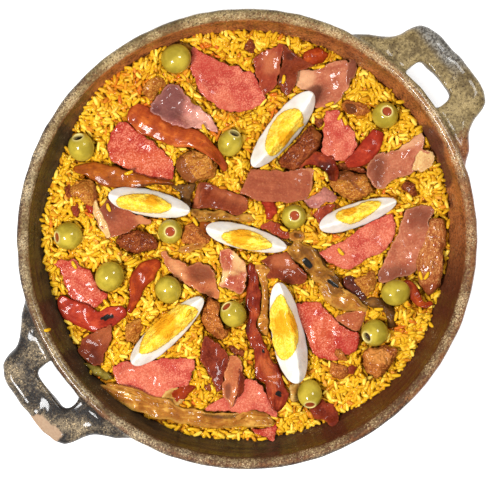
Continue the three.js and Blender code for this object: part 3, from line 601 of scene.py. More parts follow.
@dataclass(frozen=True)
class GlazedClay:
    """A speckled brown glaze over clay, sooty outside where the fire reached it; the inner wall is darker on
    its left and lower sides, partly its own glaze and partly painted shade.
    """

    warm: Colour = (170, 100, 52)
    deep: Colour = (76, 37, 22)
    lighter_soot_and_shade: Colour = (70, 54, 36)
    soot: Colour = (48, 38, 28)
    olive: Colour = (150, 130, 88)
    moss: Colour = (92, 76, 48)
    grey: Colour = (134, 130, 122)
    slate: Colour = (72, 68, 62)
    black: Colour = (36, 33, 31)
    umber: Colour = (112, 98, 78)
    speckle: Colour = (204, 178, 136)
    pit: Colour = (50, 32, 20)
    stain: Colour = (92, 50, 34)
    clay: Colour = (166, 142, 116)
    damp_clay: Colour = (142, 112, 90)
    foot: Colour = (118, 84, 58)
    scorched_foot: Colour = (72, 60, 50)

    def material(self) -> Material:
        """Makes the material; its zones are painted on the dish.

        Returns:
            The material.
        """
        r = Recipe("glazed_clay")
        cloud, patchy, fine, grit = r.noise(10, 4), r.noise(16, 4), r.noise(1.7, 3), r.noise(0.8, 2)
        mottle = r.sum(patchy, fine, 0.7)
        body = r.blend(r.step(r.sum(cloud, fine, 0.9), 0.52, 1.25), self.deep, self.warm)
        # The inner wall is darker on its lower side: partly its own glaze, partly painted shade.
        body = r.over(body, self.deep, r.step(r.sum(r.painted("deep"), cloud, 0.5), 0.45, 1.15))
        # Soot outside; on the inner wall the same colours are partly darker glaze and partly painted shade.
        burnt_and_shade = r.blend(r.step(cloud, 0.36, 0.62), self.soot, self.lighter_soot_and_shade)
        body = r.over(body, burnt_and_shade, r.step(r.sum(r.painted("soot"), r.noise(7, 4), 0.6), 0.5, 1.15))
        green = r.blend(r.step(mottle, 0.66, 1.04), self.moss, self.olive)
        body = r.over(body, green, r.zone("olive", fine, 0.6))
        ash = r.blend(r.step(fine, 0.38, 0.62), self.slate, self.grey)
        body = r.over(body, ash, r.zone("grey", patchy, 0.9))
        charred = r.blend(r.step(mottle, 0.72, 1.1), self.black, self.umber)
        body = r.over(body, charred, r.zone("black", patchy, 0.5))
        body = r.over(body, self.stain, r.zone("stain", fine, 0.5))
        # Cream flecks of the glaze; on the rim and the far handle they are partly painted glints.
        flecks = r.step(r.sum(r.sum(grit, patchy, 0.6), r.painted("speckle"), 0.3), 1.0, 1.2)
        body = r.over(body, self.speckle, flecks, 0.8)
        body = r.over(body, self.pit, r.step(r.noise(1.2, 2), 0.57, 0.66), 0.75)
        bare, raw = r.zone("chip", fine, 0.3), r.painted("raw")
        body = r.over(body, r.blend(fine, self.clay, self.damp_clay), bare)
        body = r.over(body, r.blend(r.step(cloud, 0.4, 0.62), self.foot, self.scorched_foot), raw)
        rough = r.sum(r.sum(0.3, cloud, 0.2), r.sum(bare, raw), 0.45)
        relief = r.sum(r.sum(fine, cloud, 1.2), r.noise(1.2), r.sum(0.5, r.painted("black")))
        wet = r.product(r.step(bare, 1.0, 0.0), 0.25)
        return r.done(body, rough, relief, 0.5, Specular_IOR_Level=0.1, Coat_Weight=wet, Coat_Roughness=0.08)


@dataclass(frozen=True)
class CookedRice:
    """Moist saffron grains, some stained by the toppings' oil."""

    dull: Colour = (178, 110, 14)
    bright: Colour = (211, 161, 29)
    # Palest grains: partly their own tone, partly a painted highlight on the upper ones.
    pale: Colour = (240, 206, 84)
    oily: Colour = (190, 96, 24)

    def material(self) -> Material:
        """Makes the material; each grain's tone and stain are painted on it.

        Returns:
            The material.
        """
        r = Recipe("saffron_rice")
        # The painted tone holds painted light: lighter on the upper layers, darker at the toppings' edges.
        tone = r.sum(r.painted("tone"), r.noise(1.6), 0.5)
        body = r.blend(r.step(tone, 0.2, 0.85), self.dull, self.bright)
        body = r.over(body, self.pale, r.step(tone, 0.9, 1.35))
        body = r.over(body, self.oily, r.step(r.painted("stain"), 0.2, 1.0))
        return r.done(
            body, r.sum(0.3, r.noise(1.5), 0.2), r.noise(0.9), 0.14, Coat_Weight=0.15, Coat_Roughness=0.1,
            Subsurface_Weight=0.08, Subsurface_Scale=0.0012, Subsurface_Radius=(1.0, 0.7, 0.25),
        )


@dataclass(frozen=True)
class RiceShade:
    """The core between the grains, painted dark brown-orange as the shade that falls between them."""

    dark: Colour = (116, 60, 12)
    light: Colour = (196, 128, 22)

    def material(self) -> Material:
        """Makes the material.

        Returns:
            The material.
        """
        r = Recipe("rice_shade")
        # Painted shade, darkest along the edges of the cells, like crevices between grains.
        hollow = r.step(r.sum(r.cells(2.6), r.noise(4, 4), 0.4), 0.45, 0.9)
        relief = r.sum(r.noise(1.4, 3), r.cells(2.4), -1.2)
        return r.done(r.blend(hollow, self.light, self.dark), r.sum(0.25, r.noise(2), 0.25), relief, 1.2)


@dataclass(frozen=True)
class BoiledEgg:
    """A boiled white, with yolk where it is painted."""

    white: Colour = (232, 228, 220)
    shade: Colour = (218, 210, 196)
    halo: Colour = (238, 222, 168)
    yolk: Colour = (240, 192, 46)
    ripe: Colour = (228, 158, 28)
    pale_yolk: Colour = (246, 214, 88)

    def material(self) -> Material:
        """Makes the material; the paint yolk is a depth in mm inside the yolk's outline.

        Returns:
            The material.
        """
        r = Recipe("boiled_egg")
        fine, crumb = r.noise(1.2, 3), r.noise(1.3, 3)
        inside = r.step(r.sum(r.painted("yolk"), fine, 1.6), 0.6, 1.05)
        # Paler on the raised crumbs: partly the yolk's own tone, partly painted light on their tops.
        yolk = r.blend(r.step(r.sum(crumb, r.noise(4, 2), 0.8), 0.76, 1.04), self.yolk, self.pale_yolk)
        yolk = r.over(yolk, self.ripe, r.step(r.noise(1.8, 3), 0.52, 0.68), 0.4)
        yolk = r.over(yolk, self.ripe, r.step(r.sum(r.painted("ripe"), r.noise(5, 4), 1.6), 1.0, 1.5))
        white = r.blend(r.step(r.noise(9, 2), 0.4, 0.72), self.white, self.shade)
        white = r.over(white, self.halo, r.step(r.painted("yolk"), -2.6, 0.4), 0.6)
        relief = r.sum(r.product(fine, 0.05), r.product(inside, r.sum(r.noise(2.4, 3), crumb, 0.7)))
        return r.done(
            r.blend(inside, white, yolk), r.sum(0.3, inside, 0.3), relief, 0.8,
            Coat_Weight=0.1, Coat_Roughness=0.15,
            Subsurface_Weight=0.12, Subsurface_Scale=0.003, Subsurface_Radius=(1.0, 0.8, 0.6),
        )


@dataclass(frozen=True)
class OliveSkin:
    """Smooth green olive skin, paler round the hole, with its stuffing."""

    green: Colour = (180, 158, 52)
    ripe: Colour = (148, 128, 36)
    spot: Colour = (90, 78, 26)
    rim: Colour = (204, 186, 112)
    stuffing: Colour = (124, 48, 22)
    bright_stuffing: Colour = (160, 70, 34)
    # The inside of an empty hole: painted shade.
    hollow: Colour = (56, 34, 16)

    def material(self) -> Material:
        """Makes the material; the paints are rim, stuffing and hollow.

        Returns:
            The material.
        """
        r = Recipe("olive_skin")
        body = r.blend(r.step(r.noise(8, 3), 0.36, 0.66), self.ripe, self.green)
        body = r.over(body, self.spot, r.step(r.noise(0.7), 0.66, 0.74), 0.4)
        body = r.over(body, self.rim, r.painted("rim"))
        body = r.over(body, r.blend(r.noise(1.5), self.bright_stuffing, self.stuffing), r.painted("stuffing"))
        # An empty hole is painted dark as the shade inside it.
        body = r.over(body, self.hollow, r.painted("hollow"))
        return r.done(
            body, r.sum(0.25, r.noise(5), 0.14), r.noise(1.8), 0.05, Coat_Weight=0.5, Coat_Roughness=0.07,
            Subsurface_Weight=0.08, Subsurface_Scale=0.003, Subsurface_Radius=(0.9, 1.0, 0.3),
        )


@dataclass(frozen=True)
class Sausage:
    """A cured sausage slice: fine pale flecks in pink-red meat."""

    name: str
    meat: Colour = (170, 65, 45)
    deep: Colour = (154, 43, 31)
    warm: Colour = (176, 76, 45)
    fleck: Colour = (212, 132, 104)
    red_fleck: Colour = (152, 34, 25)
    shaded: Colour = (158, 46, 36)
    paler_sheen: Colour = (200, 104, 80)

    def material(self) -> Material:
        """Makes the material; the paints are edge, dark and pale.

        Returns:
            The material.
        """
        r = Recipe(self.name)
        fine, cloud = r.noise(0.9, 3), r.noise(6, 4)
        body = r.blend(r.step(cloud, 0.36, 0.66), self.deep, self.meat)
        body = r.over(body, self.warm, r.step(r.noise(24, 2), 0.42, 0.62))
        body = r.over(body, self.fleck, r.step(r.sum(fine, cloud, 0.4), 0.66, 0.84), 0.65)
        body = r.over(body, self.red_fleck, r.step(r.noise(1.5, 3), 0.56, 0.7), 0.35)
        body = r.over(body, self.deep, r.painted("edge"), 0.3)
        body = r.over(body, self.shaded, r.painted("dark"), 0.5)
        # Paler patches: painted sheen.
        body = r.over(body, self.paler_sheen, r.painted("pale"), 0.2)
        return r.done(
            body, r.sum(0.4, fine, 0.2), r.sum(r.noise(1.5, 2), cloud, 1.5), 0.5,
            Coat_Weight=0.2, Coat_Roughness=0.1, Subsurface_Weight=0.06, Subsurface_Scale=0.002,
        )


@dataclass(frozen=True)
class CuredMeat:
    """A dry-cured slice: fibres along it, fat at an edge, and darker patches, partly its lean and partly
    painted shade in folds and beside other pieces.
    """

    name: str
    lean: Colour
    deep: Colour
    pale: Colour
    fibre_turn: float
    gloss: float = 0.2
    spot: Colour = (80, 32, 20)

    def material(self) -> Material:
        """Makes the material; the paints are edge, dark and pale.

        Returns:
            The material.
        """
        r = Recipe(self.name)
        fibre = r.noise(4.5, 3, (0.3, 1.5, 1), self.fibre_turn)
        fine, cloud = r.noise(1.1, 3), r.noise(7, 4)
        body = r.blend(r.step(r.sum(r.sum(cloud, fibre, 0.4), fine, 0.5), 0.7, 1.2), self.deep, self.lean)
        body = r.over(body, self.pale, r.product(r.zone("pale", fibre, 0.9, 0.5), r.sum(0.3, cloud, 0.9)))
        body = r.over(body, self.pale, r.step(fine, 0.58, 0.72), 0.35)
        # Darker patches: partly darker lean, partly painted shade in folds and beside other pieces.
        body = r.over(body, tuple(c * 0.7 for c in self.deep), r.zone("dark", fibre, 0.8, 0.5), 0.8)
        body = r.over(body, self.pale, r.step(r.painted("edge"), 0.45, 1.0), 0.2)
        body = r.over(body, self.spot, r.step(r.noise(1.3), 0.7, 0.76), 0.6)
        return r.done(
            body, r.sum(0.4, fine, 0.2), r.sum(fibre, r.noise(1.8, 2), 0.8), 0.6,
            Coat_Weight=self.gloss, Coat_Roughness=0.09, Subsurface_Weight=0.06, Subsurface_Scale=0.002,
        )


@dataclass(frozen=True)
class OilySkin:
    """Roast pepper or onion: smooth, oily, browned in places."""

    name: str
    flesh: Colour
    browned: Colour
    glow: Colour
    rough: float = 0.4  # height of its relief in mm
    gloss: float = 0.24
    pale_edge: bool = False
    char: Colour = (24, 20, 16)

    def material(self) -> Material:
        """Makes the material; the paints are edge, dark, pale, black, along and across.

        Returns:
            The material.
        """
        r = Recipe(self.name)
        streak, fine, cloud = r.streaks(2.0), r.noise(1.3, 3), r.noise(7, 3)
        tone = r.step(r.sum(r.sum(cloud, streak, 0.35), fine, 0.3), 0.6, 1.05)
        body = r.blend(tone, self.browned, self.flesh)
        body = r.over(body, self.glow, r.step(r.sum(cloud, streak, 0.5), 0.76, 1.0), 0.6)
        body = r.over(body, self.glow, r.zone("pale", streak, 0.8, 0.45), 0.8)
        body = r.over(body, self.glow if self.pale_edge else self.browned, r.painted("edge"), 0.45)
        body = r.over(body, tuple(c * 0.45 for c in self.browned), r.step(r.noise(1.1, 1), 0.66, 0.74), 0.6)
        # Darker patches: partly browned flesh, partly painted shade in folds and gaps.
        body = r.over(body, tuple(c * 0.5 for c in self.browned), r.zone("dark", fine, 0.8), 0.75)
        body = r.over(body, self.char, r.zone("black", fine, 0.4, 0.18))
        relief = r.sum(r.sum(r.product(streak, 0.7), cloud, 1.0), r.noise(1.9, 2), 0.7)
        return r.done(
            body, r.sum(0.35, fine, 0.2), relief, self.rough,
            Coat_Weight=self.gloss, Coat_Roughness=0.09, Subsurface_Weight=0.08, Subsurface_Scale=0.002,
        )


@dataclass(frozen=True)
class FriedCrust:
    """Browned meat: fibres and a crust, lighter and golden on its raised fibres and pale patches, partly as
    painted highlight, and darker in patches, partly as painted shade.
    """

    name: str
    crust: Colour
    brown: Colour
    burnt_and_shade: Colour
    fibre_turn: float
    golden: Colour
    wet: float = 0.2

    def material(self) -> Material:
        """Makes the material; the paints are edge, dark and pale.

        Returns:
            The material.
        """
        r = Recipe(self.name)
        fibre, fine = r.noise(2.4, 4, (0.55, 1.3, 1), self.fibre_turn), r.noise(0.9, 3)
        # Lighter crust and golden flecks on the raised fibres and pale patches: partly crust colour, partly
        # painted highlight.
        tone = r.step(r.sum(r.sum(fibre, r.noise(8, 3), 1.0), fine, 0.5), 0.95, 1.5)
        body = r.blend(tone, self.brown, self.crust)
        body = r.over(body, self.golden, r.step(r.sum(fine, fibre, 0.5), 0.74, 0.9), 0.75)
        body = r.over(body, self.golden, r.zone("pale", fibre, 0.8), 0.8)
        # Darker patches: partly burnt crust, partly painted shade in gaps between pieces.
        body = r.over(body, self.burnt_and_shade, r.zone("dark", fibre, 0.8), 0.85)
        body = r.over(body, self.burnt_and_shade, r.step(fibre, 0.6, 0.74), 0.5)
        relief = r.sum(fibre, r.noise(1.7, 3), 0.9)
        return r.done(body, r.sum(0.4, fine, 0.25), relief, 1.1, Coat_Weight=self.wet, Coat_Roughness=0.1)


# ---- the dish


@dataclass
class Dish:
    """The round earthenware dish with its two loop handles."""

    outside: tuple[Place, ...] = (
        (0, 0), (60, 0), (102, 0), (108, 2.5), (118, 10), (128, 22), (136, 34.5), (141.5, 47), (144.6, 57),
        (147, 63.2), (148, 66.6), (146.9, 69.2), (144.4, 70),
    )
    inside: tuple[Place, ...] = (
        (142, 69.2), (140.2, 66.4), (138.8, 60), (136, 52), (132.5, 44), (127.5, 34), (120, 23), (109, 13.5),
        (96, 8.8), (50, 8.2), (0, 8),
    )
    pitch: float = 1.9  # size of the mesh's squares
    handle_from: float = 146.0  # the handles' least radius
    handle_low: float = 48.0  # below their underside
    handle_half: float = 62.0  # more than half their width
    ring_pitch: float = 5.2  # the wheel's rings
    ring_depth: float = 0.12
    wobble: float = 0.25
    held: float = 0.8  # beside the handles, points nearer to the profile are put onto it
    free: float = 2.0  # and points farther off stay where they are
    dents: float = 0.35  # on the handles
    chip: Outline = (
        -140, -114, -132.5, -112.5, -128, -117.5, -122, -121, -118, -126, -124, -132, -134, -132, -141, -122
    )
    stain: Outline = (114, 74, 119, 72, 126, 62, 128, 52, 133, 40, 131, 32, 127, 40, 124, 54, 117, 62)

    def build(self, solids: Solids) -> None:
        """Makes the dish from its solid, with round walls and the rings of the wheel.

        Args:
            solids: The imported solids.
        """
        even = {"mode": "VOXEL", "voxel_size": self.pitch * MM}
        form = solids.refined("dish", ("REMESH", even), ("SMOOTH", {"factor": 0.5, "iterations": 4}))
        own = turned(form.points, FOOD_TURN)
        radius = np.hypot(own[:, 0], own[:, 1])
        section = np.column_stack([radius, own[:, 2]])
        profile = smooth_loop(np.ravel([*self.outside, *self.inside]), 900, closed=False)
        gap = np.full(len(own), np.inf)
        nearest = np.zeros(len(own), int)
        for i, spot in enumerate(profile):
            away = np.hypot(*(section - spot).T)
            closer = away < gap
            gap[closer], nearest[closer] = away[closer], i
        inner = nearest > np.argmax(profile[:, 1])
        beside = (np.abs(own[:, 1]) < self.handle_half) & (own[:, 2] > self.handle_low) & ~inner
        hold = 1 - ease(gap, self.held, self.free) * beside
        section = section * (1 - hold[:, None]) + profile[nearest] * hold[:, None]
        height = section[:, 1]
        angle = np.arctan2(own[:, 1], own[:, 0])
        sway = Unevenness(3, 60).at(form.points)
        rings = np.sin(2 * math.pi * height / self.ring_pitch + 0.8 * np.sin(angle) + sway)
        on_wall = ease(height, 12, 20) * hold * (1 - ease(height, 64, 67))
        section[:, 0] += on_wall * (self.ring_depth * rings + self.wobble * sway)
        own = np.column_stack([section[:, 0] * np.cos(angle), section[:, 0] * np.sin(angle), height])
        form.points = turned(own, -FOOD_TURN)
        loose = ease(radius, self.handle_from - 2, self.handle_from + 4) * (height > self.handle_low)
        form.points += form.normals() * (self.dents * Unevenness(7, 14).at(form.points) * loose)[:, None]
        form.points[:, 2] = form.points[:, 2].clip(0)
        form.paint = self.paints(form.points, inner, loose)
        form.piece("dish_glazed", GlazedClay().material(), "glazed_clay", ["dish"])

    def paints(self, points: np.ndarray, inner: np.ndarray, loose: np.ndarray) -> dict[str, np.ndarray]:
        """Says where the glaze changes.

        Args:
            points: The dish's points in the food's axes.
            inner: Whether each is on the inner side.
            loose: 1 on the handles.

        Returns:
            The paints by name.
        """
        x, y, z = points.T
        angle = np.degrees(np.arctan2(y, x))

        def side(middle: float, low: float, high: float) -> np.ndarray:
            """Rises to 1 towards one side of the dish."""
            return ease(np.cos(np.radians(angle - middle)), low, high)

        left, lower, upper = side(206, 0.0, 0.8), side(-78, -0.15, 0.8), side(75, 0.3, 1.0)
        body = 1 - loose
        rim = ease(z, 65.5, 68.5) * body
        own = turned(points, FOOD_TURN)
        far = loose * ((x + y) > 0) * (1 - 0.8 * ease(-own[:, 1], 20, 48))
        near = loose * ((x + y) < 0)
        chip = depth_inside(np.reshape(self.chip, (-1, 2)), points)
        stain = depth_inside(smooth_loop(self.stain, 30), points)
        outer = (~inner).astype(float)
        # The inner wall is darker towards its left and lower sides: partly its own glaze, partly painted
        # shade.
        dark_glaze_and_shade_side = (left + 0.5 * side(-110, 0.4, 1.0)).clip(0, 1)
        # Painted grey metallic sheen where the far handle's outer end catches the light.
        painted_sheen_end = ease(own[:, 0], 162, 174) * ease(own[:, 1], -20, 10) * far
        burnt_wall = outer * ease(z, 50, 60) * body * (1 - 0.5 * rim)
        return {
            # Soot outside; on the inner wall, partly darker glaze and partly painted shade on its left side.
            "soot": (inner * dark_glaze_and_shade_side + outer * 0.8 * body) * (1 - 0.6 * rim),
            # Deeper glaze outside; on the inner wall's lower side, partly deeper glaze and partly painted
            # shade.
            "deep": inner * (lower + 0.1 * (1 - upper)) + outer * 0.4,
            "olive": (rim * (0.46 + 0.2 * side(150, -0.3, 0.7)) + 1.05 * far).clip(0, 1),
            # Grey glaze on the rim's left side; on the far handle's outer end, a painted sheen.
            "grey": (0.35 * rim * left + 0.8 * painted_sheen_end).clip(0, 1),
            "black": (0.9 * near + 0.75 * burnt_wall).clip(0, 1),
            # Cream flecks of the glaze, partly painted glints on the rim and the far handle.
            "speckle": 0.1 + 0.45 * rim + 0.2 * far + 0.3 * near,
            "stain": ease(stain, -2, 2) * inner,
            "chip": ease(chip, -0.8, 0.8) * (z > 62),
            "raw": outer * body * (1 - ease(z, 14, 34)),
        }


# ---- eggs and olives


@dataclass(frozen=True)
class Yolk:
    """Where the yolk shows on a wedge, as an outline from above, and where its heart is riper."""

    outline: Outline
    ripe: Place
    ripe_reach: float = 7.0


@dataclass
class EggWedges:
    """Lengthwise wedges of boiled egg, sharp edge up."""

    yolks: dict[str, Yolk]
    crumble: float = 0.4
    crisp: float = 0.35

    def build(self, solids: Solids) -> None:
        """Makes every wedge.

        Args:
            solids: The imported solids.
        """
        finish = BoiledEgg().material()
        for number, (node, yolk) in enumerate(self.yolks.items()):
            form = solids.smoothed(node)
            depth = depth_inside(smooth_loop(yolk.outline, 48), form.points)
            form.points = solids.crisper(form.points, node, self.crisp * (1 - ease(depth, -3, 1))[:, None])
            normal = form.normals()
            up = ease(normal[:, 2], 0.05, 0.3)
            inside = ease(depth, -0.3, 1.0) * up
            fine, coarse = (Unevenness(s + number, size).at(form.points) for s, size in ((30, 2.8), (60, 6)))
            rise = inside * (0.25 + self.crumble * (0.7 * fine + 0.7 * coarse))
            form.points += normal * (rise + 0.08 * Unevenness(5, 9).at(form.points))[:, None]
            away = np.hypot(form.points[:, 0] - yolk.ripe[0], form.points[:, 1] - yolk.ripe[1])
            form.paint = {
                "yolk": np.where(up > 0.2, depth, -3.0),
                "ripe": 1 - ease(away, 0.3 * yolk.ripe_reach, 1.5 * yolk.ripe_reach),
            }
            form.piece(node + "_cut", finish, "egg", [node])


class Stuffing(Enum):
    """What an olive's hole shows, by the name of its paint."""

    PIMENTO = "stuffing"
    # An empty hole shows painted shade.
    EMPTY = "hollow"


@dataclass(frozen=True)
class Olive:
    """One olive: the way that its stoned end points, its size and what its hole shows."""

    way: Triple
    width: float
    length: float
    stuffing: Stuffing = Stuffing.PIMENTO
    hole: float = 3.7  # half the width of its hole
    stuffed_depth: float = 0.9
    empty_depth: float = 3.2
    around: int = 48

    def form(self) -> Form:
        """Turns the olive round its own axis, with the stoned end up.

        Returns:
            The olive with its paints.
        """
        a, b = self.width / 2, self.length / 2
        full = self.stuffing is Stuffing.PIMENTO
        arc = np.linspace(-math.pi / 2 + 0.03, math.asin(math.sqrt(1 - (self.hole / a) ** 2)), 26)
        outer = [(a * math.cos(t), b * math.sin(t)) for t in arc]
        rim = outer[-1][1]
        bed = rim - (self.stuffed_depth if full else self.empty_depth)
        lip = [(self.hole - 0.25, rim + 0.05), (self.hole - 0.55, rim - 0.35), (self.hole - 0.7, bed)]
        crown = [(s, 0.5 * (1 - s * s) if full else -0.6 * (1 - s)) for s in (0.75, 0.5, 0.2)]
        profile = np.array([*outer, *lip, *((self.hole * s, bed + rise) for s, rise in crown)])
        turn = np.linspace(0, 2 * math.pi, self.around, endpoint=False)
        points = np.array([(r * math.cos(t), r * math.sin(t), z) for r, z in profile for t in turn])
        lower = np.arange(len(profile) - 1)[:, None] * self.around
        upper = lower + self.around
        i = np.arange(self.around)
        j = (i + 1) % self.around
        quads = np.stack([lower + i, lower + j, upper + j, upper + i], axis=-1).reshape(-1, 4)
        foot = np.full(self.around, len(points))
        ends = [np.column_stack([foot, j, i]), np.column_stack([foot + 1, upper[-1] + i, upper[-1] + j])]
        points = np.vstack([points, [[0, 0, -b], [0, 0, profile[-1][1]]]])
        step = np.concatenate([np.repeat(np.arange(len(profile)), self.around), [0, len(profile) - 1]])
        lips = len(outer)
        paint = {kind.value: (step >= lips + 2) * float(self.stuffing is kind) for kind in Stuffing}
        paint["rim"] = ease(step, lips - 2.5, lips - 0.5) * (step < lips + 2.5)
        return Form(points, [quads, *ends], paint)


@dataclass
class Olives:
    """Stoned green olives, some stuffed with pimento."""

    olives: dict[str, Olive]

    def build(self, solids: Solids) -> None:
        """Makes every olive where its solid is.

        Args:
            solids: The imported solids.
        """
        finish = OliveSkin().material()
        for node, olive in self.olives.items():
            solid = solids.points(node)[0]
            way = np.array(olive.way, float) / np.linalg.norm(olive.way)
            side = np.cross(way, UP if abs(way[2]) < 0.9 else np.array([1.0, 0, 0]))
            side /= np.linalg.norm(side)
            other = np.cross(way, side)
            middle = way * ((solid @ way).min() + olive.length / 2)
            for axis in (side, other):
                middle = middle + axis * ((np.max(solid @ axis) + np.min(solid @ axis)) / 2)
            form = olive.form()
            x, y, z = form.points.T[:, :, None]
            form.points = middle + x * side + y * other + z * way
            form.piece(node + "_skin", finish, "olive", [node])


# ---- slices, strips and lumps

NODE_OF = {  # pieces that share a solid with another one
    "ham_18": "ham_17", "ham_22": "ham_14", "ham_23": "ham_6", "onion_26": "onion_1", "onion_27": "onion_1",
    "onion_28": "onion_2", "onion_29": "onion_2",
}
SLOT_OF = {  # pieces whose slot isn't in their name
    "pepper_2": "onion", "pepper_13": "ham", "fried_meat_26": "ham", "fried_meat_30": "ham",
    "fried_meat_31": "pepper",
}


def slot_of(name: str) -> str:
    """Gives a topping's material slot."""
    return SLOT_OF.get(name, name.rsplit("_", 1)[0])


class Draw(Enum):
    """The random fields of a topping, each by the start of its seeds."""

    TORN = 100
    RAGGED = 140
    LEAN = 180
    FOLDS = 220
    RELIEF = 260
    BITS = 340

    def at(self, number: int, wavelength: float, points: np.ndarray) -> np.ndarray:
        """Gives the field of the topping with this number at points."""
        return Unevenness(self.value + number, wavelength).at(points)


@dataclass
class Layout:
    """A flat net of points over a piece: where they lie, how they join, and their depth inside its border."""

    STATIONS = 72  # rows of points along a band
    COLUMNS = 13  # points in such a row
    INSETS = (0.1, 0.35, 0.8)  # rows of points along the edge of a filled net

    places: np.ndarray
    faces: list[np.ndarray]
    border: np.ndarray
    depth: np.ndarray
    across: np.ndarray  # -1 to 1 over a band

    @classmethod
    def filled(cls, loop: np.ndarray, pitch: float) -> "Layout":
        """Fills a loop with triangles, closer together at its edge.

        Args:
            loop: Points round the piece.
            pitch: How far apart the points in its middle are.

        Returns:
            The layout.
        """
        area = np.sum(loop[:, 0] * np.roll(loop[:, 1], -1) - np.roll(loop[:, 0], -1) * loop[:, 1])
        loop = loop if area > 0 else loop[::-1]
        low, high = loop.min(axis=0), loop.max(axis=0)
        x, y = np.meshgrid(np.arange(low[0], high[0], pitch), np.arange(low[1], high[1], 0.87 * pitch))
        x[1::2] += pitch / 2
        nets = [(loop - outward(loop) * inset, 0.9 * inset, 0.5 * inset) for inset in cls.INSETS]
        nets.append((np.column_stack([x.ravel(), y.ravel()]), cls.INSETS[-1] + 0.4 * pitch, 0.5 * pitch))
        kept = loop
        for net, least_depth, least_gap in nets:
            for spot in net[depth_inside(loop, net) > least_depth]:
                if np.hypot(*(kept - spot).T).min() > least_gap:
                    kept = np.vstack([kept, spot])
        border = np.arange(len(loop))
        sides = [(int(i), int(i + 1) % len(loop)) for i in border]
        made = delaunay_2d_cdt([Vector(spot) for spot in kept], sides, [], 1, 1e-6)
        places = np.array([spot[:] for spot in made[0]])
        depth = depth_inside(loop, places).clip(0)
        return cls(places, [np.array(made[2])], border, depth, np.zeros(len(places)))

    @classmethod
    def band(cls, line: Outline, widths: Sequence[float]) -> "Layout":
        """Lays a net along a centre line.

        Args:
            line: The centre line.
            widths: Its width at equal steps.

        Returns:
            The layout.
        """
        middle = smooth_loop(line, cls.STATIONS, closed=False)
        run = np.gradient(middle, axis=0)
        run /= np.linalg.norm(run, axis=1)[:, None]
        t = np.linspace(0, 1, cls.STATIONS)
        half = np.interp(t, np.linspace(0, 1, len(widths)), widths) / 2
        half *= np.sqrt(np.clip(1 - (np.abs(2 * t - 1) - 0.93).clip(0) ** 2 / 0.07**2, 0.05, 1))
        across = np.sin(np.linspace(-0.5, 0.5, cls.COLUMNS) * math.pi)
        side = np.column_stack([-run[:, 1], run[:, 0]])
        places = middle[:, None, :] + side[:, None, :] * half[:, None, None] * across[None, :, None]
        places = places.reshape(-1, 2)
        rows, n = np.arange(cls.STATIONS) * cls.COLUMNS, cls.COLUMNS
        i, k = rows[:-1, None], np.arange(n - 1)
        quads = np.stack([i + k, i + n + k, i + n + k + 1, i + k + 1], axis=-1).reshape(-1, 4)
        border = np.concatenate([
            rows, rows[-1] + np.arange(1, n), rows[-2::-1] + n - 1, np.arange(n - 2, 0, -1)
        ])
        depth = depth_inside(places[border], places).clip(0)
        return cls(places, [quads], border, depth, np.tile(across, cls.STATIONS))

    def rounded(self, reach: float) -> np.ndarray:
        """Rises like a quarter circle from 0 at the border to 1 at a depth."""
        return np.sqrt(1 - (1 - (self.depth / reach).clip(0, 1)) ** 2)

    def evened(self, values: np.ndarray, times: int) -> np.ndarray:
        """Evens out a number over the net.

        Args:
            values: One for each point.
            times: How often each is mixed with its neighbours.

        Returns:
            The evened values.
        """
        edges = np.vstack([
            np.column_stack([group[:, k], np.roll(group, -1, axis=1)[:, k]])
            for group in self.faces for k in range(group.shape[1])
        ])
        count = np.zeros(len(values))
        np.add.at(count, edges.ravel(), 1)
        for _ in range(times):
            total = np.zeros(len(values))
            np.add.at(total, edges[:, 0], values[edges[:, 1]])
            np.add.at(total, edges[:, 1], values[edges[:, 0]])
            values = 0.5 * values + 0.5 * total / count
        return values

    def seat(self, solid: Surface, thick: float) -> np.ndarray:
        """Finds the middle height of a flat solid under the net.

        Args:
            solid: The solid.
            thick: How thick the piece is.

        Returns:
            Heights, evened out.
        """
        heights = []
        for x, y in self.places:
            top = solid.height(x, y)
            if top is None:
                near = solid.tree.find_nearest(Vector((x, y, FOOD_LEVEL)))[0]
                within = near.xy + (near.xy - Vector((x, y))).normalized() * 0.4
                top = solid.height(*within) or near.z + thick / 2
            heights.append(top - thick / 2)
        return self.evened(np.array(heights), 10)

    def closed(self, top: np.ndarray, base: np.ndarray, patches: Sequence[Patch]) -> Form:
        """Joins an upper and a lower copy of the net into one painted solid.

        Args:
            top: Heights of the upper copy.
            base: Heights of the lower copy.
            patches: What is painted.

        Returns:
            The closed form.
        """
        count = len(self.places)
        points = np.vstack([np.column_stack([self.places, level]) for level in (top, base)])
        a, b = self.border, np.roll(self.border, -1)
        wall = np.column_stack([a + count, b + count, b, a])
        form = Form(points, [*self.faces, *[g[:, ::-1] + count for g in self.faces], wall])
        return form.coloured(np.tile(self.depth, 2), patches, np.repeat([1.0, 0.0], count))


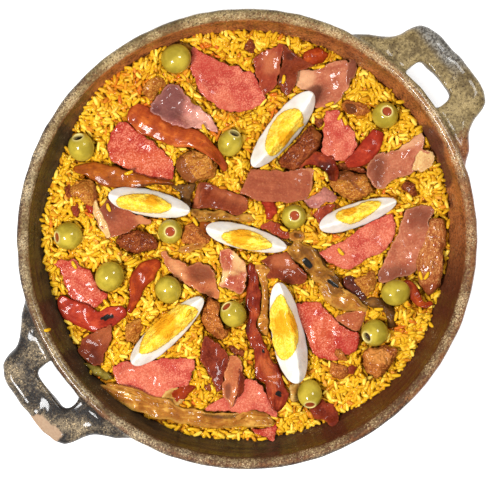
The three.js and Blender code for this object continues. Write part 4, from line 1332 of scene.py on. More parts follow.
@dataclass(frozen=True)
class Slice:
    """A flat piece: its outline, its finish and how it lies."""

    finish: str
    outline: Outline
    patches: tuple[Patch, ...] = ()
    lift: float = 1.0  # how far its edge curls up
    wave: float = 0.5  # height of its slow folds
    thick: float = 1.8
    rise: float = 0.0  # how much higher than its solid it lies
    sharp: float = 0.8  # 1 keeps the outline's corners, 0 rounds them off
    pitch: float = 0.9
    around: int = 110

    def loop(self, number: int) -> np.ndarray:
        """Draws the torn outline.

        Args:
            number: For the seeds.

        Returns:
            Points round the slice.
        """
        corners = np.array([*self.outline, *self.outline[:2]], float).reshape(-1, 2)
        plain = evenly(corners, self.around, False)
        soft = smooth_loop(self.outline, self.around)
        nearest = np.argmin(np.linalg.norm(soft[None, :8] - plain[0], axis=2))
        loop = self.sharp * plain + (1 - self.sharp) * np.roll(soft, -nearest, axis=0)
        for _ in range(2):
            loop = 0.5 * loop + 0.25 * (np.roll(loop, 1, axis=0) + np.roll(loop, -1, axis=0))
        torn = 0.45 * Draw.TORN.at(number, 5.0, loop) + 0.3 * Draw.RAGGED.at(number, 1.9, loop)
        return loop + outward(loop) * torn[:, None]

    def form(self, solids: Solids, node: str, number: int) -> Form:
        """Makes the slice over its solid.

        Args:
            solids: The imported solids.
            node: Its solid's node.
            number: For the seeds.

        Returns:
            The form.
        """
        layout = Layout.filled(self.loop(number), self.pitch)
        flat, depth = layout.places, layout.depth
        seat = layout.seat(solids.surface([node]), self.thick) + self.rise
        curl = (Draw.LEAN.at(number, 22, flat) + 0.35).clip(0) * (1 - ease(depth, 0, 8)) * self.lift
        seat = seat + curl + self.wave * Draw.FOLDS.at(number, 14, flat) * ease(depth, 0, 5)
        half = 0.5 * self.thick * (0.25 + 0.75 * layout.rounded(0.55 * self.thick))
        relief = 0.12 * Draw.RELIEF.at(number, 2.8, flat)
        return layout.closed(seat + half + relief, seat - half, self.patches)


@dataclass(frozen=True)
class Strip:
    """A long piece: its centre line, its widths, its finish and how it lies."""

    finish: str
    line: Outline
    widths: tuple[float, ...]
    patches: tuple[Patch, ...] = ()
    arch: float = 0.8  # how much higher its middle is than its edges
    twist: float = 0.35  # how much it leans to either side along its length
    ridges: float = 0.0  # depth of the furrows along it
    torn: float = 0.6  # how ragged its edges are
    crease: float = 0.4  # height of its creases
    thick: float = 2.2
    rise: float = 0.0  # how much higher than its solid it lies

    def form(self, solids: Solids, node: str, number: int) -> Form:
        """Makes the strip over its solid.

        Args:
            solids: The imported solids.
            node: Its solid's node.
            number: For the seeds.

        Returns:
            The form.
        """
        layout = Layout.band(self.line, self.widths)
        seat = layout.seat(solids.surface([node]), self.thick) + self.rise
        flat, across = layout.places, layout.across
        torn = self.torn * (Draw.TORN.at(number, 13, flat) + 0.14 * Draw.RAGGED.at(number, 3.5, flat))
        layout.places = flat = flat + torn[:, None]
        lean = Draw.LEAN.at(number, 30, flat)
        arch = self.arch * (0.7 * (1 - across**2) - 0.35) * (1 + 0.5 * lean)
        furrows = self.ridges * np.sin(across * 7 + 1.5 * lean) * (1 - across**2)
        creases = 0.6 - np.abs(Draw.RELIEF.at(number, 16, flat)) * 1.4
        seat = seat + arch + self.crease * creases * ease(layout.depth, 0, 2)
        seat = seat + self.twist * lean * across * 3 + 0.3 * Draw.FOLDS.at(number, 9, flat)
        half = 0.5 * self.thick * (0.2 + 0.8 * layout.rounded(0.5 * self.thick))
        form = layout.closed(seat + half + furrows, seat - half, self.patches)
        run = lengths_along(smooth_loop(self.line, layout.STATIONS, closed=False))
        along = np.repeat(run, layout.COLUMNS)
        form.paint.update(along=np.tile(along, 2), across=np.tile(across * layout.depth.max(), 2))
        return form


@dataclass(frozen=True)
class Lump:
    """A thick piece whose solid's own shape is kept, with crags."""

    finish: str
    patches: tuple[Patch, ...] = ()
    crags: float = 0.8
    crisp: float = 0.95  # how much of its facets is left

    def form(self, solids: Solids, node: str, number: int) -> Form:
        """Makes the craggy lump from its solid.

        Args:
            solids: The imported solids.
            node: Its solid's node.
            number: For the seeds.

        Returns:
            The form.
        """
        form = solids.smoothed(node)
        form.points = solids.crisper(form.points, node, self.crisp)
        normal = form.normals()
        coarse, fine = Draw.LEAN.at(number, 9, form.points), Draw.RELIEF.at(number, 2.6, form.points)
        cracks = 1 - ease(np.abs(Draw.FOLDS.at(number, 7, form.points)), 0.0, 0.25)
        form.points += normal * (self.crags * (1.1 * coarse - 0.8 * cracks + 0.3 * fine))[:, None]
        return form.coloured(4 * np.abs(normal[:, 2]), self.patches, ease(normal[:, 2], 0.0, 0.4))


@dataclass
class Toppings:
    """Everything flat or lumpy that lies on the rice as a solid of its own."""

    looks: dict[str, Slice | Strip | Lump]
    finishes: dict[str, Material]

    def build(self, solids: Solids) -> list[Form]:
        """Makes each piece where its solid lies.

        Args:
            solids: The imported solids.

        Returns:
            The forms.
        """
        made = []
        for number, (name, look) in enumerate(self.looks.items()):
            node = NODE_OF.get(name, name)
            form = look.form(solids, node, number)
            form.piece(f"{name}_fine", self.finishes[look.finish], slot_of(name), [node])
            made.append(form)
        return made


@dataclass(frozen=True)
class Bit:
    """A small topping that is only a raised patch of the rice's solid."""

    finish: str
    outline: Outline
    thick: float = 1.2
    dome: float = 0.6  # how much higher its middle is
    dark: Outline | None = None  # what of it is darker
    on_top: bool = False  # whether it lies on other toppings too


@dataclass
class SmallToppings:
    """The small toppings, laid over the raised patches of the rice."""

    bits: dict[str, Bit]
    finishes: dict[str, Material]
    around: int = 60
    pitch: float = 0.75
    edge: float = 1.6  # how far its rounded edge reaches in
    rough: float = 0.25  # height of its crags
    lift: float = 0.2
    buried: float = 0.8  # how far the underside lies in the rice
    least_level: float = 46.0  # of the ground beside the rice
    first: int = 300  # number of the first one's seeds

    def build(self, rice: Surface, everything: Surface) -> list[Form]:
        """Makes each piece.

        Args:
            rice: The rice's solid.
            everything: The rice and all that lies on it.

        Returns:
            The forms, for the grains to keep clear of.
        """
        made = []
        for number, (name, bit) in enumerate(self.bits.items()):
            loop = Slice(bit.finish, bit.outline, around=self.around).loop(self.first + number)
            layout = Layout.filled(loop, self.pitch)
            ground = everything if bit.on_top else rice
            under = layout.evened(ground.heights(layout.places, self.least_level), 14) + self.lift
            reach = max(layout.depth.max(), 0.1)
            crown = layout.rounded(min(self.edge, reach))
            top = under + bit.thick * (0.2 + 0.8 * crown) + bit.dome * (layout.depth / reach) ** 0.7
            top = top + self.rough * Draw.BITS.at(number, 3.0, layout.places) * crown
            patches = (Patch("dark", bit.dark, soft=1.0),) if bit.dark else ()
            form = layout.closed(top, under - self.buried, patches)
            form.piece(name, self.finishes[bit.finish], slot_of(name), [])
            made.append(form)
        return made


# ---- rice


@dataclass
class RiceBed:
    """The rice: a dark core with every grain that shows on top of it."""

    grain_length: float = 6.3
    grain_width: float = 2.65
    spacing: float = 2.55
    reach: float = 142.0  # more than the rice's own radius
    jitter: float = 0.55  # share of the pitch that a grain strays from its site
    turn_spread: float = 0.7
    tilt_spread: float = 0.22
    sunk: float = 1.1  # how much lower the grains at a topping's edge lie
    stained_share: float = 0.04  # of the grains away from the stains
    footing: float = 2.4  # reach of a scattered grain's ends
    above_ground: float = 0.85  # of a scattered grain's middle
    core_drop: float = 1.5
    sides: int = 6
    seed: int = 20240611
    layers: tuple[tuple[str, float, float], ...] = (  # name, share of a full layer, rise
        ("lower", 1.0, 0.0), ("middle", 0.55, 0.9), ("upper", 0.32, 1.8),
    )
    stations: tuple[float, ...] = (-1.0, -0.82, -0.05, 0.8, 1.0)  # along a grain
    fullness: tuple[float, ...] = (0.0, 0.68, 1.0, 0.7, 0.0)
    stained: tuple[Triple, ...] = (  # x, y and reach
        (-78, 96, 30), (-45, 103, 20), (-15, 80, 26), (14, 88, 14), (-58, 62, 14), (95, 28, 14),
        (60, -1, 14), (46, 3, 10), (-95, -94, 14), (-14, -62, 10), (20, 98, 12), (-30, 125, 18),
        (82, 76, 10), (-30, -105, 12), (-100, 20, 12), (96, 12, 10), (60, -22, 12), (100, -55, 14),
    )
    loose: tuple[Triple, ...] = (  # x, y and turn of single grains on toppings
        (61, 80, 60), (64, 77, 110), (61, -8.5, -50), (-113, -17, -60), (-90.5, 20.5, -70), (113, -24, -75),
        (117, -24, 60), (-77, 43, 20), (48, 112, 12), (-28, 72, -65), (24, 6.5, -30), (-92, -42, -50),
        (54, 88, 20), (35, 74, 15), (-38, -48, 60), (24, 104, 80), (86, -46, 0),
    )
    strays: tuple[Triple, ...] = (  # the same of grains on the wall
        (-128, -58.5, 12), (120, -56, -55), (-133.4, 12, -20), (-132, 15, -30), (-132.4, 8.5, 5),
        (130, -12, -30), (131, -3, -60), (126, 34, -40), (63, -112, -30), (-90, 102, -10),
        (-15, 131.5, -50), (-4, 132, 65), (3, 132.5, -55), (-36, -126, 70), (-12, -128, 50),
    )

    def build(self, solids: Solids, toppings: Surface) -> None:
        """Makes the core and the grains.

        Args:
            solids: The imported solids.
            toppings: Everything that lies on the rice.
        """
        self.core(solids)
        rice = solids.surface(["rice"])
        finish = CookedRice().material()
        extra = self.scattered(toppings, solids.surface(["dish"]))
        for number, (name, share, rise) in enumerate(self.layers):
            rows = self.layer(rice, toppings, number, share, rise)
            if number == len(self.layers) - 1:
                rows = np.vstack([rows, extra])
            self.grains(rows).piece(f"rice_grains_{name}", finish, "saffron_rice", ["rice"])

    def core(self, solids: Solids) -> None:
        """Makes the core, a little below the solid's top.

        Args:
            solids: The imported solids.
        """
        plain = {"subdivision_type": "SIMPLE", "levels": 1, "render_levels": 1}
        form = solids.refined("rice", ("SUBSURF", plain))
        top = ease(form.normals()[:, 2], 0.2, 0.5) * (form.points[:, 2] > 30)
        form.points[:, 2] -= top * (self.core_drop - 0.5 * Unevenness(11, 3.0).at(form.points))
        form.piece("rice_core", RiceShade().material(), "saffron_rice", ["rice"])

    def layer(self, rice: Surface, toppings: Surface, number: int, share: float, rise: float) -> np.ndarray:
        """Lays one layer of grains over the bare rice.

        Args:
            rice: The rice's solid.
            toppings: Everything that lies on it.
            number: Of the layer, from below.
            share: How many grains it has against a full layer.
            rise: How much higher than the rice's solid it lies.

        Returns:
            Rows of x, y, z, turn, tilt, roll, length, width, tone and stain.
        """
        draw = np.random.default_rng(self.seed + number)
        pitch = self.spacing / math.sqrt(share)
        steps = np.arange(-self.reach, self.reach, pitch)
        gx, gy = np.meshgrid(steps, steps)
        sites = np.column_stack([gx.ravel(), gy.ravel()])
        sites = sites[np.hypot(*sites.T) < self.reach]
        sites += draw.uniform(-self.jitter, self.jitter, sites.shape) * pitch
        turn = 3 * Unevenness(17 + number, 26, flat=True).at(sites)
        turn += draw.normal(0, self.turn_spread, len(sites))
        level = rice.heights(sites)
        keep = level > 0
        sites, turn, level = sites[keep], turn[keep], level[keep]
        half = 0.42 * self.grain_length * np.column_stack([np.cos(turn), np.sin(turn)])
        covered = np.sum([toppings.heights(sites + s * half) > level - 2.0 for s in (-1, 0, 1)], axis=0)
        keep = (covered < 3) if number == 0 else (covered == 0)
        sites, turn, level, under = sites[keep], turn[keep], level[keep], covered[keep] > 0
        n = len(sites)
        z = level + draw.uniform(-0.6, 0.5, n) + rise - self.sunk * under
        tilt = draw.normal(0, self.tilt_spread, n) * np.where(under, 0.3, 1.0)
        stain = self.stain_at(sites) * draw.uniform(0.3, 1.0, n)
        stain += (draw.random(n) < self.stained_share) * 0.7
        # Random tone for each grain, plus painted light: upper layers lighter, and grains at a topping's edge
        # darker as painted shade.
        tone = draw.normal(0.42, 0.22, n) + 0.14 * number - 0.12 * under
        length = self.grain_length * draw.normal(1, 0.12, n).clip(0.65, 1.25)
        width = self.grain_width * draw.normal(1, 0.09, n).clip(0.75, 1.2)
        roll = draw.uniform(0, 2 * math.pi, n)
        return np.column_stack([sites, z, turn, tilt, roll, length, width, tone, stain])

    def stain_at(self, sites: np.ndarray) -> np.ndarray:
        """Says how stained the rice is.

        Args:
            sites: Rows of x and y.

        Returns:
            0 to 1 for each.
        """
        stain = np.zeros(len(sites))
        for x, y, reach in self.stained:
            away = np.hypot(sites[:, 0] - x, sites[:, 1] - y)
            stain = np.maximum(stain, 1 - ease(away, 0.3 * reach, reach))
        return stain * (0.65 + 0.5 * Unevenness(23, 14, flat=True).at(sites)).clip(0, 1)

    def scattered(self, toppings: Surface, wall: Surface) -> np.ndarray:
        """Puts single grains on the toppings and on the wall.

        Args:
            toppings: Everything that lies on the rice.
            wall: The dish's solid.

        Returns:
            Rows as layer gives them.
        """
        rows = []
        for under, spots in ((toppings, self.loose), (wall, self.strays)):
            for x, y, degrees in spots:
                level = under.height(x, y)
                turn = math.radians(degrees)
                dx, dy = self.footing * math.cos(turn), self.footing * math.sin(turn)
                ends = [under.height(x + s * dx, y + s * dy) or level for s in (-1, 1)]
                tilt = math.atan2(ends[1] - ends[0], 2 * self.footing) * 0.8
                z = max(level, sum(ends) / 2) + self.above_ground
                rows.append((x, y, z, turn, -tilt, 0.0, self.grain_length, self.grain_width, 0.6, 0.0))
        return np.array(rows)

    def grains(self, rows: np.ndarray) -> Form:
        """Makes all grains of one layer.

        Args:
            rows: Rows of x, y, z, turn, tilt, roll, length, width, tone and stain.

        Returns:
            The joined grains.
        """
        n = self.sides
        around = np.linspace(0, 2 * math.pi, n, endpoint=False)
        shape = [(self.stations[0], 0.0, 0.0)]
        for t, r in zip(self.stations[1:-1], self.fullness[1:-1]):
            shape += [(t, r * math.cos(a), r * math.sin(a)) for a in around]
        shape = np.array([*shape, (self.stations[-1], 0.0, 0.0)])
        size = len(shape)
        faces = []
        for i in range(n):
            j = (i + 1) % n
            faces.append((0, 1 + j, 1 + i))
            for a in range(1, size - 1 - n, n):
                faces += [(a + i, a + j, a + n + j), (a + i, a + n + j, a + n + i)]
            faces.append((size - 1 - n + i, size - 1 - n + j, size - 1))
        x, y, z, yaw, tilt, roll, length, width, tone, stain = rows.T[:, :, None]
        bend = shape[:, 0] ** 2
        ahead = shape[:, 0] * length / 2
        aside = shape[:, 1] * width / 2 + 0.35 * np.cos(roll) * bend
        above = shape[:, 2] * width / 2 * 0.92 + 0.2 * np.sin(roll) * bend
        level = ahead * np.cos(tilt) + above * np.sin(tilt)
        points = np.stack([
            level * np.cos(yaw) - aside * np.sin(yaw) + x,
            level * np.sin(yaw) + aside * np.cos(yaw) + y,
            above * np.cos(tilt) - ahead * np.sin(tilt) + z,
        ], axis=-1).reshape(-1, 3)
        joined = (np.array(faces)[None] + np.arange(len(rows))[:, None, None] * size).reshape(-1, 3)
        return Form(points, [joined], {"tone": np.repeat(tone, size), "stain": np.repeat(stain, size)})


# ---- light, floor and camera


@dataclass
class Studio:
    """A pale floor, soft light and a camera straight above the food."""

    food_height: float = 50.0
    camera_height: float = 1350.0
    seen_width: float = 318.9  # width of the picture at the food
    aim: Place = (-1.3, -0.65)
    sensor: float = 36.0
    lamps: tuple[tuple[str, Triple, float, float], ...] = (  # name, place, side in metres, watts
        ("key", (-400, -280, 780), 0.2, 10.0), ("fill", (420, 260, 760), 0.22, 4.0),
    )
    sky: float = 0.35
    floor_half: float = 2.5  # metres
    floor_white: Colour = (250, 250, 250)
    floor_glow: float = 0.45  # the floor's own light, which keeps it pale where the dish shades it

    def build(self) -> None:
        """Makes the floor, the lights and the camera."""
        self.floor()
        for lamp in self.lamps:
            self.light(*lamp)
        world = bpy.data.worlds.new("studio")
        world.use_nodes = True
        back = world.node_tree.nodes["Background"]
        back.inputs["Color"].default_value = (1.0, 1.0, 1.0, 1.0)
        back.inputs["Strength"].default_value = self.sky
        scene = bpy.context.scene
        scene.world = world
        scene.view_settings.view_transform = "Standard"
        lens = bpy.data.cameras.new("camera")
        lens.sensor_width = self.sensor
        lens.lens = self.sensor * (self.camera_height - self.food_height) / self.seen_width
        camera = bpy.data.objects.new("camera", lens)
        camera.location = to_part(np.array([[*self.aim, self.camera_height]]))[0]
        camera.rotation_euler = (0, 0, FOOD_TURN)
        scene.collection.objects.link(camera)
        scene.camera = camera

    def floor(self) -> None:
        """Lays the floor."""
        half, white = self.floor_half, self.floor_white
        mesh = bpy.data.meshes.new("floor")
        corners = [(-half, -half, 0), (half, -half, 0), (half, half, 0), (-half, half, 0)]
        mesh.from_pydata(corners, [], [(0, 1, 2, 3)])
        r = Recipe("pale_floor")
        glow = {"Emission_Color": white, "Emission_Strength": self.floor_glow}
        mesh.materials.append(r.done(white, 0.6, r.noise(4), 0.02, **glow))
        made = bpy.data.objects.new("floor", mesh)
        bpy.context.scene.collection.objects.link(made)

    @staticmethod
    def light(name: str, place: Triple, size: float, power: float) -> None:
        """Hangs a square soft light that looks at the dish.

        Args:
            name: Its name.
            place: Where it hangs, in mm in the food's axes.
            size: Its side in metres.
            power: Its power in watts.
        """
        lamp = bpy.data.lights.new(name, "AREA")
        lamp.size = size
        lamp.energy = power
        made = bpy.data.objects.new(name, lamp)
        at = Vector(to_part(np.array([place], float))[0])
        made.location = at
        made.rotation_euler = (-at).to_track_quat("-Z", "Y").to_euler()
        bpy.context.scene.collection.objects.link(made)


# ---- what lies where

SAUSAGES = (
    Sausage("sausage"),
    Sausage("sausage_pink", meat=(180, 82, 64), deep=(164, 58, 46), warm=(184, 90, 66)),
)
CURED = (
    CuredMeat("ham_rosy", (176, 106, 76), (148, 74, 50), (208, 158, 116), 20),
    CuredMeat("ham_red", (152, 80, 52), (132, 62, 40), (180, 116, 74), -5),
    CuredMeat("ham_orange", (146, 58, 33), (120, 41, 25), (172, 96, 60), 60),
    CuredMeat("ham_dark", (184, 118, 102), (140, 78, 72), (210, 152, 132), 35, 0.25),
    CuredMeat("ham_brown", (118, 48, 22), (95, 35, 17), (160, 86, 50), 60, 0.1),
    CuredMeat("ham_tan", (176, 102, 60), (148, 72, 42), (208, 150, 98), 0),
    CuredMeat("ham_fat", (172, 94, 66), (144, 60, 42), (214, 178, 120), 75),
    CuredMeat("ham_maroon", (126, 46, 23), (90, 28, 15), (156, 82, 48), -60, 0.12),
    CuredMeat("ham_shade", (92, 42, 28), (60, 25, 17), (124, 64, 42), 10),
    CuredMeat("ham_cream", (206, 172, 112), (184, 134, 84), (222, 196, 140), 40),
)
OILY = (
    OilySkin("pepper_orange", (166, 74, 24), (134, 50, 18), (194, 104, 40)),
    OilySkin("pepper_bright", (152, 54, 15), (118, 36, 11), (178, 84, 30), 0.4, 0.16),
    OilySkin("pepper_red", (160, 50, 28), (126, 32, 18), (182, 74, 44), 0.5, 0.14),
    OilySkin("pepper_deep", (144, 52, 24), (100, 27, 13), (172, 84, 42), 0.7, 0.22),
    OilySkin("pepper_green", (130, 112, 38), (98, 80, 26), (162, 144, 74)),
    OilySkin("onion_brown", (152, 76, 16), (120, 56, 13), (178, 102, 28), 0.4, 0.16),
    OilySkin("onion_gold", (166, 106, 34), (130, 74, 22), (206, 160, 74), 0.7, 0.3, True),
    OilySkin("onion_clear", (144, 90, 24), (102, 60, 17), (186, 138, 56), 0.6, 0.2, True),
    OilySkin("onion_pale", (180, 138, 66), (148, 98, 40), (208, 176, 108), 0.5, 0.26, True),
    OilySkin("onion_amber", (164, 104, 34), (130, 70, 20), (198, 146, 66), 0.6, 0.3, True),
    # Dark sheets: partly dark sauce, partly painted shade in gaps and under other pieces' edges.
    OilySkin("dark_sauce_and_shade", (104, 66, 26), (76, 46, 18), (138, 92, 40), 0.6, 0.12),
)
CRUSTS = (
    FriedCrust("crust_gold", (170, 104, 36), (138, 72, 25), (120, 62, 30), 30, (196, 141, 62)),
    FriedCrust("crust_brown", (164, 92, 36), (124, 59, 23), (80, 39, 17), -30, (194, 126, 58)),
    FriedCrust("crust_dark", (122, 54, 23), (90, 35, 16), (56, 26, 13), 45, (154, 86, 40)),
    FriedCrust("crust_wet", (168, 98, 48), (134, 64, 28), (118, 50, 20), 80, (200, 144, 84), 0.35),
)

YOLKS = {
    "egg_wedge_1": Yolk([
        -84, 26, -76, 29, -62, 29, -54, 25.5, -49, 21, -54, 17.5, -62, 17, -74, 18.5, -83, 21
    ], (-62, 25), ripe_reach=5),
    "egg_wedge_2": Yolk([
        12, 60, 15, 72, 22, 81.5, 31, 84.5, 36, 80, 36, 75, 31, 69, 24, 60, 16, 54
    ], (26, 65)),
    "egg_wedge_3": Yolk([
        58.5, 13, 60, 18, 70, 21, 78, 24.5, 87, 23.5, 80, 16, 68, 10
    ], (66, 20), ripe_reach=5),
    "egg_wedge_4": Yolk([-16, 3, -5, 6.2, 6, 4, 16, -3.5, 12, -6.5, 0, -7, -13, -2], (-4, 2)),
    "egg_wedge_5": Yolk([
        -69.5, -73, -66, -61, -58, -50, -46, -43, -33, -45, -34, -51, -44, -61, -56, -70, -63, -73.5
    ], (-54, -56), ripe_reach=9),
    "egg_wedge_6": Yolk([
        22, -36, 27, -44, 31, -52, 33.5, -63, 30, -74, 23, -78.5, 17, -70, 14.5, -58, 15.5, -46
    ], (25, -55), ripe_reach=9),
}
OLIVES = {
    "olive_1": Olive((0.8, 0.5, -0.5), 19, 20),
    "olive_2": Olive((-0.2, 0.75, 0.65), 17, 19.5, Stuffing.EMPTY),
    "olive_3": Olive((0.35, 0.75, 0.6), 16, 19, Stuffing.EMPTY),
    "olive_4": Olive((-0.8, -0.1, 0.5), 18, 19),
    "olive_5": Olive((0.05, 0, 1), 16, 17),
    "olive_6": Olive((0.05, 0.1, 1), 16, 17),
    "olive_7": Olive((0.1, 0.3, 1), 17, 18),
    "olive_8": Olive((-0.5, -0.8, -0.4), 18.5, 20.5),
    "olive_9": Olive((0.3, -0.9, -0.4), 17, 18.5),
    "olive_10": Olive((-0.6, 0.7, 0.55), 16.5, 18.5),
    "olive_11": Olive((0.9, 0.2, -0.4), 17, 19.5),
    "olive_12": Olive((-0.75, -0.35, 0.7), 17.5, 18, Stuffing.EMPTY),
    "olive_13": Olive((0, -0.8, 0.6), 16, 20),
}
